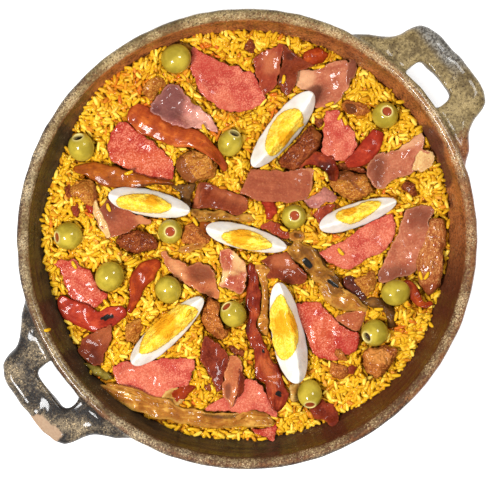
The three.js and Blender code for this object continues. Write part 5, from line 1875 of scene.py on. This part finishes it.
SLICES = {
    "salami_1": Slice("sausage_pink", [
        -36, 125, -26, 120, -18, 116, -11, 113, -7, 114, -3, 110, 3, 110, 7, 104, 10, 98, 12, 91, 8, 87,
        0, 84, -10, 83, -19, 86, -26, 91, -31, 96, -34, 104, -37, 111
    ], (
        Patch("dark", [-35, 124, -14, 115, -12, 108, -30, 106], soft=7),
        Patch("dark", [-16, 89, -11, 84, -14, 83]),
    )),
    "salami_2": Slice("sausage", [
        -83, 77, -78, 76, -71, 70, -61, 63, -54, 57, -48, 51, -48, 39, -52, 38, -63, 40, -72, 42, -81, 47,
        -90, 52, -91, 62, -88, 70
    ]),
    "salami_3": Slice("sausage_pink", [
        52, 84, 60, 84, 61, 79, 66, 75, 70, 70, 72, 62, 70, 56, 65, 52, 58, 51, 52, 54, 48, 58, 50, 66,
        50, 77
    ], (Patch("pale", [50, 66, 54, 58, 64, 56, 68, 62, 58, 62], soft=4),)),
    "salami_4": Slice("sausage_pink", [
        46, -9, 53, -6, 61, -2, 69, 3, 76, 9, 84, 12, 91, 16, 95, 17, 97, 10, 96, 2, 91, -7, 87, -10,
        79, -12, 74, -16, 67, -20, 59, -18, 52, -14
    ]),
    "salami_5": Slice("sausage", [
        -127, -17, -122, -13, -118, -14, -113, -13, -108, -18, -102, -21, -99, -29, -96, -33, -90, -36,
        -93, -40, -98, -44, -103, -46, -110, -43, -116, -37, -120, -28, -122, -19
    ], (Patch("pale", [-118, -20, -110, -22, -104, -36, -112, -36], soft=4),)),
    "salami_6": Slice("sausage_pink", [
        -88, -83, -82, -80, -75, -80, -66, -80, -56, -78, -48, -78, -40, -78, -35, -78, -34, -83, -36, -90,
        -39, -96, -48, -98, -55, -103, -62, -106, -67, -105, -71, -101, -80, -100, -85, -93
    ]),
    "salami_7": Slice("sausage", [
        31, -43, 38, -41, 47, -41, 52, -47, 59, -54, 67, -60, 73, -61, 74, -66, 72, -71, 68, -76, 63, -76,
        58, -80, 52, -79, 46, -77, 41, -71, 39, -62, 34, -56, 31, -50
    ], (
        Patch("dark", [59, -64, 72, -64, 73, -71, 66, -76, 60, -72], rise=1.0, soft=1.6),
        Patch("dark", [40, -60, 44, -50, 42, -46, 38, -52], soft=2),
    )),
    "salami_8": Slice("sausage_pink", [
        -28, -111, -22, -107, -14, -102, -6, -95, 0, -90, 5, -92, 10, -96, 14, -104, 19, -111, 20, -117,
        16, -116, 10, -112, 3, -112, -4, -115, -10, -112, -18, -112, -25, -113
    ], (Patch("dark", [-7, -90, 1, -91, 0, -100, -6, -104], soft=2),)),
    "ham_1": Slice("ham_rosy", [
        31, 100, 31, 110, 36, 111, 43, 110, 50, 113, 58, 116, 64, 117, 66, 114, 68, 119, 72, 119, 71, 109,
        68, 102, 64, 95, 59, 89, 51, 86, 44, 86, 42, 92, 40, 97, 35, 98
    ], (
        Patch("pale", [31, 99, 31, 110, 41, 110, 45, 105, 40, 98.5, 34, 98], soft=4),
        Patch("dark", [41, 98, 50, 99, 52, 92, 46, 88, 42, 92], soft=5),
        Patch("dark", [66, 113, 69, 119, 72.5, 119, 70, 106, 66, 100, 65, 105], rise=1.6, soft=1.2),
    ), lift=1.6, wave=0.7),
    "ham_17": Slice("ham_orange", [
        4, 118, 11, 122, 17, 125, 22, 128, 24, 124, 22, 114, 20, 106, 19, 99, 14, 96, 10, 94, 8, 101,
        5, 109
    ], (Patch("pale", [10, 118, 19, 122, 21, 110, 12, 108], soft=5),), lift=0.8),
    "ham_18": Slice("ham_brown", [
        22, 128, 26, 126, 31, 121, 38, 117, 45, 113, 38, 111, 34, 110, 32, 103, 30, 98, 26, 94, 22, 97,
        20, 101, 21, 108, 23, 116
    ], (
        Patch("dark", [26, 121, 31, 121, 30, 117, 26, 117], soft=1.5),
        Patch("dark", [20, 107, 22, 106, 21, 99, 19, 101], soft=1),
    ), lift=0.6, wave=0.9),
    "ham_2": Slice("ham_red", [
        2, 46, 8, 45, 18, 45, 26, 44, 34, 46, 44, 46, 43, 39, 42, 32, 40, 27, 31, 24, 20, 24, 9, 24, 0, 28,
        -5, 30, -1, 37
    ], (Patch("pale", [36, 46, 44, 46, 42, 30, 41, 30, 41.5, 43], soft=1.0),), lift=0.5, wave=0.3),
    "ham_3": Slice("ham_dark", [
        -64, 84, -60, 91, -55, 97, -49, 102, -45, 100, -40, 95, -36, 89, -31, 86, -26, 82, -21, 76, -18, 69,
        -23, 70, -30, 72, -40, 72, -50, 75, -57, 79
    ], (
        Patch("pale", [-34, 84, -28, 84, -21, 74, -24, 70, -34, 73, -38, 77], soft=6),
        Patch("dark", [-65, 84, -52, 99, -46, 100, -41, 90, -44, 79, -56, 78], rise=0.6, soft=4),
    ), lift=1.6, wave=1.1),
    "ham_4": Slice("ham_tan", [
        -12, -76, -7, -76, -3, -80, -4, -88, -5, -97, -7, -104, -10, -110, -12, -107, -16, -102, -16, -95,
        -14, -86
    ], (Patch("dark", [-14, -96, -11, -94, -11, -104, -14, -103], soft=1.4),), lift=1.2, wave=0.7),
    "ham_5": Slice("ham_rosy", [
        103, 18, 108, 21, 114, 22, 120, 22, 122, 17, 118, 12, 119, 4, 117, -1, 114, -8, 111, -14, 111, -20,
        107, -24, 100, -25, 94, -28, 87, -29, 85, -24, 89, -16, 92, -9, 95, -3, 99, 5, 101, 12
    ], (
        Patch("dark", [106, 21, 120, 21, 120, 8, 106, 8], rise=0.4, soft=9),
        Patch("dark", [86, -20, 112, -18, 108, -25, 86, -29], soft=6),
    ), lift=0.8, wave=0.6),
    "ham_6": Slice("ham_red", [
        -96, 19, -91, 27, -87, 24, -80, 20, -72, 16, -62, 12, -64, 9, -71, 10, -74, 6, -80, 3, -87, 1,
        -92, 0, -95, 6, -99, 14
    ], (
        Patch("dark", [-96, 19, -91, 25, -84, 21, -88, 12], soft=8),
        Patch("pale", [-71, 15, -63, 12, -66, 9, -72, 11]),
    ), lift=0.5),
    "ham_7": Slice("ham_tan", [
        -57, -8, -52, -8, -51, -12, -43, -14, -38, -18, -32, -15, -25, -17, -21, -22, -20, -30, -18, -36,
        -19, -40, -26, -37, -35, -32, -44, -27, -51, -21
    ], (
        Patch("dark", [-38, -18, -26, -17, -22, -26, -34, -28], soft=5),
        Patch("pale", [-51, -15, -44, -17, -40, -26, -48, -22], soft=5),
    ), wave=0.7),
    "ham_8": Slice("ham_fat", [
        -18, -8, -14, -6, -8, -8, -5, -12, -1, -16, 0, -23, -1, -31, -3, -36, -8, -35, -13, -32, -18, -31,
        -16, -22, -18, -14
    ], (
        Patch("pale", [-9, -8, -3, -13, -1, -20, -7, -21, -9, -15]),
        Patch("pale", [-18, -22, -8, -21, -6, -23, -12, -24, -16, -30, -19, -28], soft=2.5),
    ), lift=0.9, wave=0.9),
    "ham_9": Slice("ham_maroon", [
        -27, -63, -23, -66, -19, -68, -14, -73, -12, -77, -12, -83, -15, -92, -16, -98, -20, -101, -22, -95,
        -26, -86, -31, -79, -30, -71
    ], lift=1.2, wave=0.9),
    "ham_10": Slice("ham_brown", [
        -108, -67, -103, -62, -97, -59, -89, -56, -88, -62, -90, -70, -93, -76, -95, -83, -101, -82,
        -107, -78, -111, -72
    ], (
        Patch("dark", [-102, -72, -96, -76, -95, -82, -101, -81], soft=6),
        Patch("pale", [-100, -61, -89, -57, -89, -66, -98, -66], soft=6),
    ), lift=0.4, wave=0.3, thick=1.4),
    "ham_11": Slice("ham_brown", [
        9, -14, 14, -11, 19, -9, 26, -9, 30, -14, 35, -19, 40, -25, 37, -29, 30, -30, 22, -27, 12, -24,
        16, -20, 13, -17
    ], (Patch("pale", [15, -17, 19, -10, 26, -10, 33, -19, 24, -19], rise=0.8),), lift=0.4, wave=0.4),
    "ham_13": Slice("ham_brown", [
        -36, 20, -34, 29, -32, 37, -24, 36, -17, 33, -8, 30, -2, 28, 1, 25, 0, 19, -3, 16, -9, 15, -13, 18,
        -20, 20, -29, 20
    ], (
        Patch("pale", [-36, 21, -32, 37, -30.5, 36, -30.5, 24, -33, 21], rise=1.4, soft=2.5),
        Patch("pale", [-20, 31, -2, 27, 0, 22, -8, 24], soft=6),
    ), lift=0.5, wave=0.7),
    "ham_14": Slice("ham_rosy", [
        86, 56, 93, 57, 99, 59, 105, 63, 114, 70, 116, 64, 114, 58, 120, 57, 122, 54, 119, 48, 111, 45,
        104, 41, 97, 40, 91, 34, 86, 32, 82, 35, 78, 43, 79, 50
    ], (
        Patch("pale", [94, 58, 104, 63, 114, 70, 115, 64, 106, 60]),
        Patch("dark", [84, 54, 90, 52, 89, 40, 86, 34, 79, 43, 80, 51], soft=5),
    ), lift=1.4, wave=1.4),
    "ham_22": Slice("ham_cream", [
        107, 45, 109, 51, 112, 58, 120, 57, 122.5, 54, 119.5, 47, 113, 43.5
    ], lift=1.5, thick=2.0, rise=1.7),
}
STRIPS = {
    "ham_23": Strip("ham_cream", [-100, 25, -97, 17, -94, 9, -90, 1], (2, 5, 6, 4), twist=0.2, thick=1.6,
        rise=0.8),
    "pepper_1": Strip("pepper_orange", [
        -77, 84, -64, 76.5, -50, 69, -36, 65.5, -25, 60, -18, 51, -14, 44
    ], (13, 19, 17, 14, 12, 8, 4), (
        Patch("pale", [-62, 66, -50, 62, -34, 61, -24, 55, -32, 59, -50, 60], soft=1.5),
    ), twist=0.2),
    "pepper_2": Strip("onion_brown", [
        -114, 45, -103, 45, -90, 41, -76, 38.5, -60, 37.5, -47, 36
    ], (5, 11, 14, 9, 5, 3), (Patch("dark", [-74, 35, -60, 36.5, -48, 36, -50, 34, -68, 33.5], soft=1.2),),
        twist=0.25),
    "pepper_3": Strip("pepper_red", [86, 71, 81, 61, 74, 53, 64, 48.5], (7, 13, 12, 5)),
    "pepper_4": Strip("pepper_deep", [
        33, 47, 38, 52, 46, 53, 53, 50, 56, 43, 55, 37
    ], (4, 8, 9, 9, 8, 5), (Patch("dark", [46, 50, 56, 48, 57, 38, 50, 40]),), arch=0.3),
    "pepper_5": Strip("pepper_red", [
        -122, -37, -117, -45, -108, -50, -97, -54, -88, -50, -79, -46
    ], (5, 14, 16, 13, 13, 7), (
        Patch("black", [-96, -53, -93.5, -50, -89.5, -49.2, -86, -50.3, -90, -52.6], rise=-1.4, soft=0.5),
    ), arch=0.5, twist=0.3, torn=0.4, crease=0.5),
    "pepper_6": Strip("pepper_bright", [-57, -15, -64, -20, -71, -28, -73, -37, -77, -48],
        (5, 14, 12, 6, 4), twist=0.4),
    "pepper_7": Strip("pepper_deep", [
        2, -16, 3, -28, 4, -40, 4, -47, 2, -54, 4, -63, 8, -72, 11, -82, 16, -91, 20, -101, 21, -112
    ], (5, 8, 9.5, 9, 5.5, 8.5, 12.5, 12, 13.5, 14.5, 6), (
        Patch("black", [10, -72, 11, -72, 11.5, -74, 10, -74], soft=0.6),
        Patch("black", [18.5, -101, 21, -98, 23, -102, 21, -103], soft=0.8),
        Patch("pale", [8, -78, 14, -80, 19, -92, 15, -94], soft=4),
        Patch("dark", [-1, -44, 1, -44, 1.5, -60, -1, -60], soft=2),
    ), twist=0.45, ridges=0.3, torn=1.5, crease=0.8),
    "pepper_8": Strip("pepper_bright", [104, -26, 108, -34, 112.5, -40.5, 117, -43, 121, -41.5],
        (4, 7, 8, 5, 3.5)),
    "onion_1": Strip("onion_gold", [
        -97, -95, -85, -101, -70, -107, -54, -112, -36, -116, -18, -118.5, 0, -118, 18, -119.5
    ], (3, 8, 11, 11, 9, 8, 10, 7), (
        Patch("dark", [-30, -114, -16, -115, -6, -115, -8, -117, -20, -117], soft=2),
    ), ridges=0.4, torn=0.7, crease=0.9),
    "onion_26": Strip("onion_amber", [-92, -95, -80, -98, -66, -103, -50, -109, -34, -113],
        (3, 5, 6, 5, 3), arch=1.6, ridges=0.5, torn=1.0, thick=4.4),
    "onion_27": Strip("onion_amber", [-40, -118, -24, -121, -8, -119, 2, -114, 14, -116], (3, 6, 5, 6, 4),
        arch=1.4, ridges=0.5, torn=0.8, thick=4.0),
    "onion_2": Strip("onion_clear", [29, -3, 40, -13, 49, -24, 58, -32, 66, -37], (10, 15, 14, 11, 5), (
        Patch("black", [36, -14, 38.5, -12, 42.5, -17, 41, -19.5, 38, -17.5], rise=0.5, soft=0.7),
        Patch("black", [52, -27, 54, -26.5, 60, -30.5, 59, -32, 55, -30], rise=0.5, soft=0.7),
    ), ridges=0.5, torn=1.6, crease=0.8),
    "onion_28": Strip("onion_gold", [48, -30, 57, -36, 67, -41, 79, -46], (4, 12, 12, 3), arch=1.2,
        ridges=0.5, torn=0.8, crease=0.6, thick=4.0),
    "onion_29": Strip("dark_sauce_and_shade", [33, -2, 44, -11, 54, -22, 63, -32], (3, 5, 5, 3), arch=1.0,
        ridges=0.5, torn=1.2, thick=3.6),
}
LUMPS = {
    "fried_meat_1": Lump("crust_dark", (Patch("pale", [44, 73, 50, 69, 48, 64, 43, 67], soft=2),)),
    "fried_meat_2": Lump("crust_gold", (
        Patch("dark", [-50, 54, -42, 54.5, -38.5, 46, -32, 38, -30, 33, -50, 33], rise=-0.5, soft=1.2),
    )),
    "fried_meat_3": Lump("crust_gold", (
        Patch("dark", [55, 45, 70, 44, 72, 38, 64, 38, 56, 40], soft=1.6),
        Patch("dark", [67, 40, 71, 36, 77, 30, 74, 30, 68, 36], rise=-0.6, soft=0.8),
    )),
    "fried_meat_4": Lump("crust_dark"),
    "fried_meat_5": Lump("crust_brown"),
    "fried_meat_6": Lump("crust_brown", (Patch("pale", [78, -73, 90, -72, 92, -80, 80, -80]),)),
    "fried_meat_7": Lump("crust_wet", (Patch("dark", [114, -30, 128, -30, 127, -38, 118, -40], soft=2.5),),
        crags=0.6, crisp=0.4),
}
SMALL = {
    "salami_9": Bit("sausage", [
        3, -123.5, 9, -124.5, 16, -122.5, 20, -121, 19, -127, 17, -132.5, 11, -129.5, 4.5, -127
    ], thick=1.4, dome=0.0),
    "ham_12": Bit("ham_dark", [
        36, 26, 44, 28, 50, 34, 53, 33, 60, 27, 56, 24, 50, 23, 45, 20, 41, 20
    ], thick=1.4, dome=0.5),
    "ham_19": Bit("ham_orange", [
        43, 16, 47, 20.5, 53, 23, 58, 22, 55, 17, 50, 10.5, 47, 10
    ], thick=1.4, dome=0.3),
    "ham_15": Bit("ham_shade", [
        62.5, -26, 68.5, -23, 73, -30, 78, -37, 76, -41, 70, -39, 64, -33
    ], thick=1.4, dome=0.3),
    "ham_16": Bit("ham_maroon", [
        46, -103, 51, -106, 57, -108, 60, -114, 59, -121, 56, -124, 51, -119, 45, -118, 41, -113
    ], thick=1.8),
    "ham_20": Bit("ham_tan", [
        58, -50, 66, -48, 74, -46, 79, -48, 76, -54, 74, -60, 70, -60, 63, -56, 57, -53
    ], thick=1.4, dome=0.8, on_top=True),
    "ham_21": Bit("ham_maroon", [
        -5, -84, -2, -88, -1, -94, -3, -101, -6, -103, -6, -94
    ], dome=0.2, on_top=True),
    "pepper_10": Bit("pepper_bright", [
        35.5, 120, 40, 124, 46, 125, 52, 122, 52, 118.5, 49, 115, 43, 113, 38, 115
    ], thick=1.6, dome=0.8),
    "pepper_11": Bit("pepper_green", [
        -107, -81, -100, -82, -93, -85, -88, -88.5, -88, -92, -95, -91.5, -101, -87
    ], thick=1.4),
    "pepper_12": Bit("pepper_red", [9, 25, 18, 25, 20, 17, 15, 12, 12, 13, 12, 20], thick=1.4, dome=0.5),
    "pepper_13": Bit("ham_orange", [
        8, 7.5, 13, 11.5, 20, 11, 26, 7, 28.5, 2, 25, -1, 18, 3, 12, 6
    ], thick=1.5, dome=0.5),
    "pepper_14": Bit("pepper_bright", [
        -49, -99, -43, -96, -34, -95, -33, -97, -38, -101, -42, -106, -48, -107, -51, -103
    ], thick=1.6, dome=0.8, on_top=True),
    "onion_15": Bit("onion_amber", [
        -46.5, -9, -42, -4.5, -35, -2.5, -27, -0.8, -25, -2, -30, -6, -39, -9
    ], dome=0.5),
    "onion_16": Bit("onion_amber", [
        5, -16, 12, -17, 19, -20, 15, -22, 13, -25, 14, -34, 14, -50, 14, -64, 10, -64, 6, -56, 9, -46,
        10, -36, 8, -27, 4, -21
    ], thick=1.4, dome=0.8),
    "onion_17": Bit("onion_clear", [
        -38, 21, -33, 20, -26, 18, -16, 19, -8, 15, -2, 17, 3, 16, 6, 12, 0, 11, -8, 12, -22, 12, -30, 10,
        -34, 12
    ], thick=1.4),
    # A dark sheet in the gap between a fried lump, the first egg and ham_13: partly dark sauce, partly
    # painted shade.
    "onion_18": Bit("dark_sauce_and_shade", [
        -50, 35, -40, 36, -33, 37, -36, 28, -37, 20, -41, 22, -44, 30
    ], thick=0.8, dome=0.0),
    "onion_19": Bit("onion_pale", [
        28, -95, 33, -93.5, 36.5, -96, 35, -102, 33, -107, 29.5, -107, 27.5, -101
    ], thick=1.4, dome=0.8),
    "onion_20": Bit("onion_pale", [
        -56, -103, -52, -98.5, -46, -97, -41, -99, -41, -106, -47, -110, -53, -109
    ], on_top=True),
    "onion_21": Bit("dark_sauce_and_shade", [
        74, -40, 80, -38, 88, -38, 94, -42, 98, -48, 96, -58, 92, -58, 91, -50, 85, -45, 77, -44
    ], thick=1.4),
    "onion_22": Bit("onion_amber", [
        26, 3, 31, 6.5, 37, 4, 38, 0, 35, -2.5, 29, -1.5
    ], dome=0.8, dark=[31, 4, 35, 3, 35, 0.5, 31, 1]),
    "onion_23": Bit("onion_clear", [
        -43.5, 129, -37, 126.5, -33, 122.5, -35, 118.5, -39, 117, -41, 122.5, -45, 126.5
    ], dome=0.4),
    "onion_24": Bit("dark_sauce_and_shade", [
        9, 6, 14, 4, 22, -0.5, 32, -3, 33, -5, 24, -3.5, 14, 1.5
    ], thick=1.0, dome=0.3),
    "onion_25": Bit("onion_brown", [-31, 11.5, -24, 11.5, -22, 8, -26, 4.5, -29.5, 3.5, -31.5, 7]),
    "fried_meat_12": Bit("crust_gold", [
        -115, 29, -115, 34, -110, 38, -103, 40, -99, 36, -97, 28, -100, 22, -104, 22, -110, 27
    ], dome=1.6, dark=[-100, 35, -96.5, 32, -97, 23, -99.5, 24]),
    "fried_meat_15": Bit("crust_gold", [
        -69, 97, -64, 103, -58, 106, -53, 104, -53, 100, -58, 96, -60, 91, -63, 90, -66, 93
    ], dome=1.4),
    "fried_meat_16": Bit("crust_brown", [
        -43, -2, -42, 5, -40, 10, -36, 11, -31, 8, -26, 4, -23, 0, -25, -3, -31, -4, -37, -3
    ], dome=1.2),
    "fried_meat_19": Bit("crust_gold", [
        -80, -60, -79, -56, -74, -53, -70, -51, -68, -55, -69, -61, -70, -66, -74, -69, -79, -66
    ], dome=1.6),
    "fried_meat_20": Bit("crust_gold", [
        70, -26, 76, -24, 82, -20, 85, -24, 84, -31, 81, -35, 78, -38, 74, -33, 71, -30
    ], dome=1.6),
    "fried_meat_21": Bit("crust_brown", [
        55, -81, 61, -81, 65, -84, 67, -88, 62, -92, 57, -91, 54, -87
    ], dome=1.2),
    "fried_meat_22": Bit("crust_brown", [
        61, 88, 65, 91, 72, 89.5, 78, 88, 81, 83, 76, 80.5, 68, 81.5, 63, 84
    ], dome=1.2, dark=[64, 88, 70, 87.5, 71, 82.5, 66, 82.5]),
    "fried_meat_23": Bit("crust_dark", [
        101, 34, 103, 38, 108, 37, 110, 32.5, 112, 28, 108, 27.5, 104, 30
    ], dome=1.2),
    "fried_meat_24": Bit("crust_dark", [-3, 125, 0, 129, 4, 131, 5, 125, 5, 121, 2, 120.5], thick=1.0),
    "fried_meat_25": Bit("crust_brown", [
        57.5, -72, 61.5, -71, 64, -75, 66, -80, 61, -80, 58, -76
    ], dome=1.0, on_top=True),
    "fried_meat_26": Bit("ham_maroon", [66, -84, 69, -82, 72, -84, 70, -88, 66, -88], thick=1.0, dome=0.8),
    "fried_meat_27": Bit("crust_dark", [
        56, 46, 62, 50, 70, 49.5, 77, 46, 79, 43, 70, 44, 62, 44.5
    ], dome=0.8),
    "fried_meat_28": Bit("crust_dark", [44, 80, 49, 79.5, 50, 75, 47, 72, 44, 74], thick=1.0),
    "fried_meat_29": Bit("crust_dark", [-119, 34, -115, 36, -114, 28, -116, 26, -119, 30], thick=0.8),
    "fried_meat_30": Bit("ham_maroon", [-115, 21, -111, 23, -109, 18, -111, 14, -115, 16], thick=0.8),
    "fried_meat_31": Bit("pepper_red", [-105, 22, -102, 22.5, -100, 19, -102, 16.5, -105, 19], thick=0.8),
    "fried_meat_32": Bit("crust_dark", [-28, -96, -25, -94.5, -22, -96.5, -24, -99, -27, -98.5], thick=0.8),
    "fried_meat_33": Bit("crust_dark", [-12, -70, -6, -71, -1, -74, -2, -77, -6, -76, -10, -74], thick=0.8),
}


def main() -> None:
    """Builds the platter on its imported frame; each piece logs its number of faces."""
    logging.basicConfig(level=logging.INFO, format="%(name)s: %(message)s")
    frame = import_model()
    Studio().build()
    solids = Solids(frame)
    finishes = {look.name: look.material() for look in (*SAUSAGES, *CURED, *OILY, *CRUSTS)}
    rice = solids.surface(["rice"])
    cover = solids.surface([name for name in solids.nodes if name not in ("dish", "rice")])
    Dish().build(solids)
    EggWedges(YOLKS).build(solids)
    Olives(OLIVES).build(solids)
    laid = Toppings(SLICES | STRIPS | LUMPS, finishes).build(solids)
    laid += SmallToppings(SMALL, finishes).build(rice, Covers([rice, cover]))
    RiceBed().build(solids, Covers([cover, *map(Surface.of, laid)]))


if __name__ == "__main__":
    main()
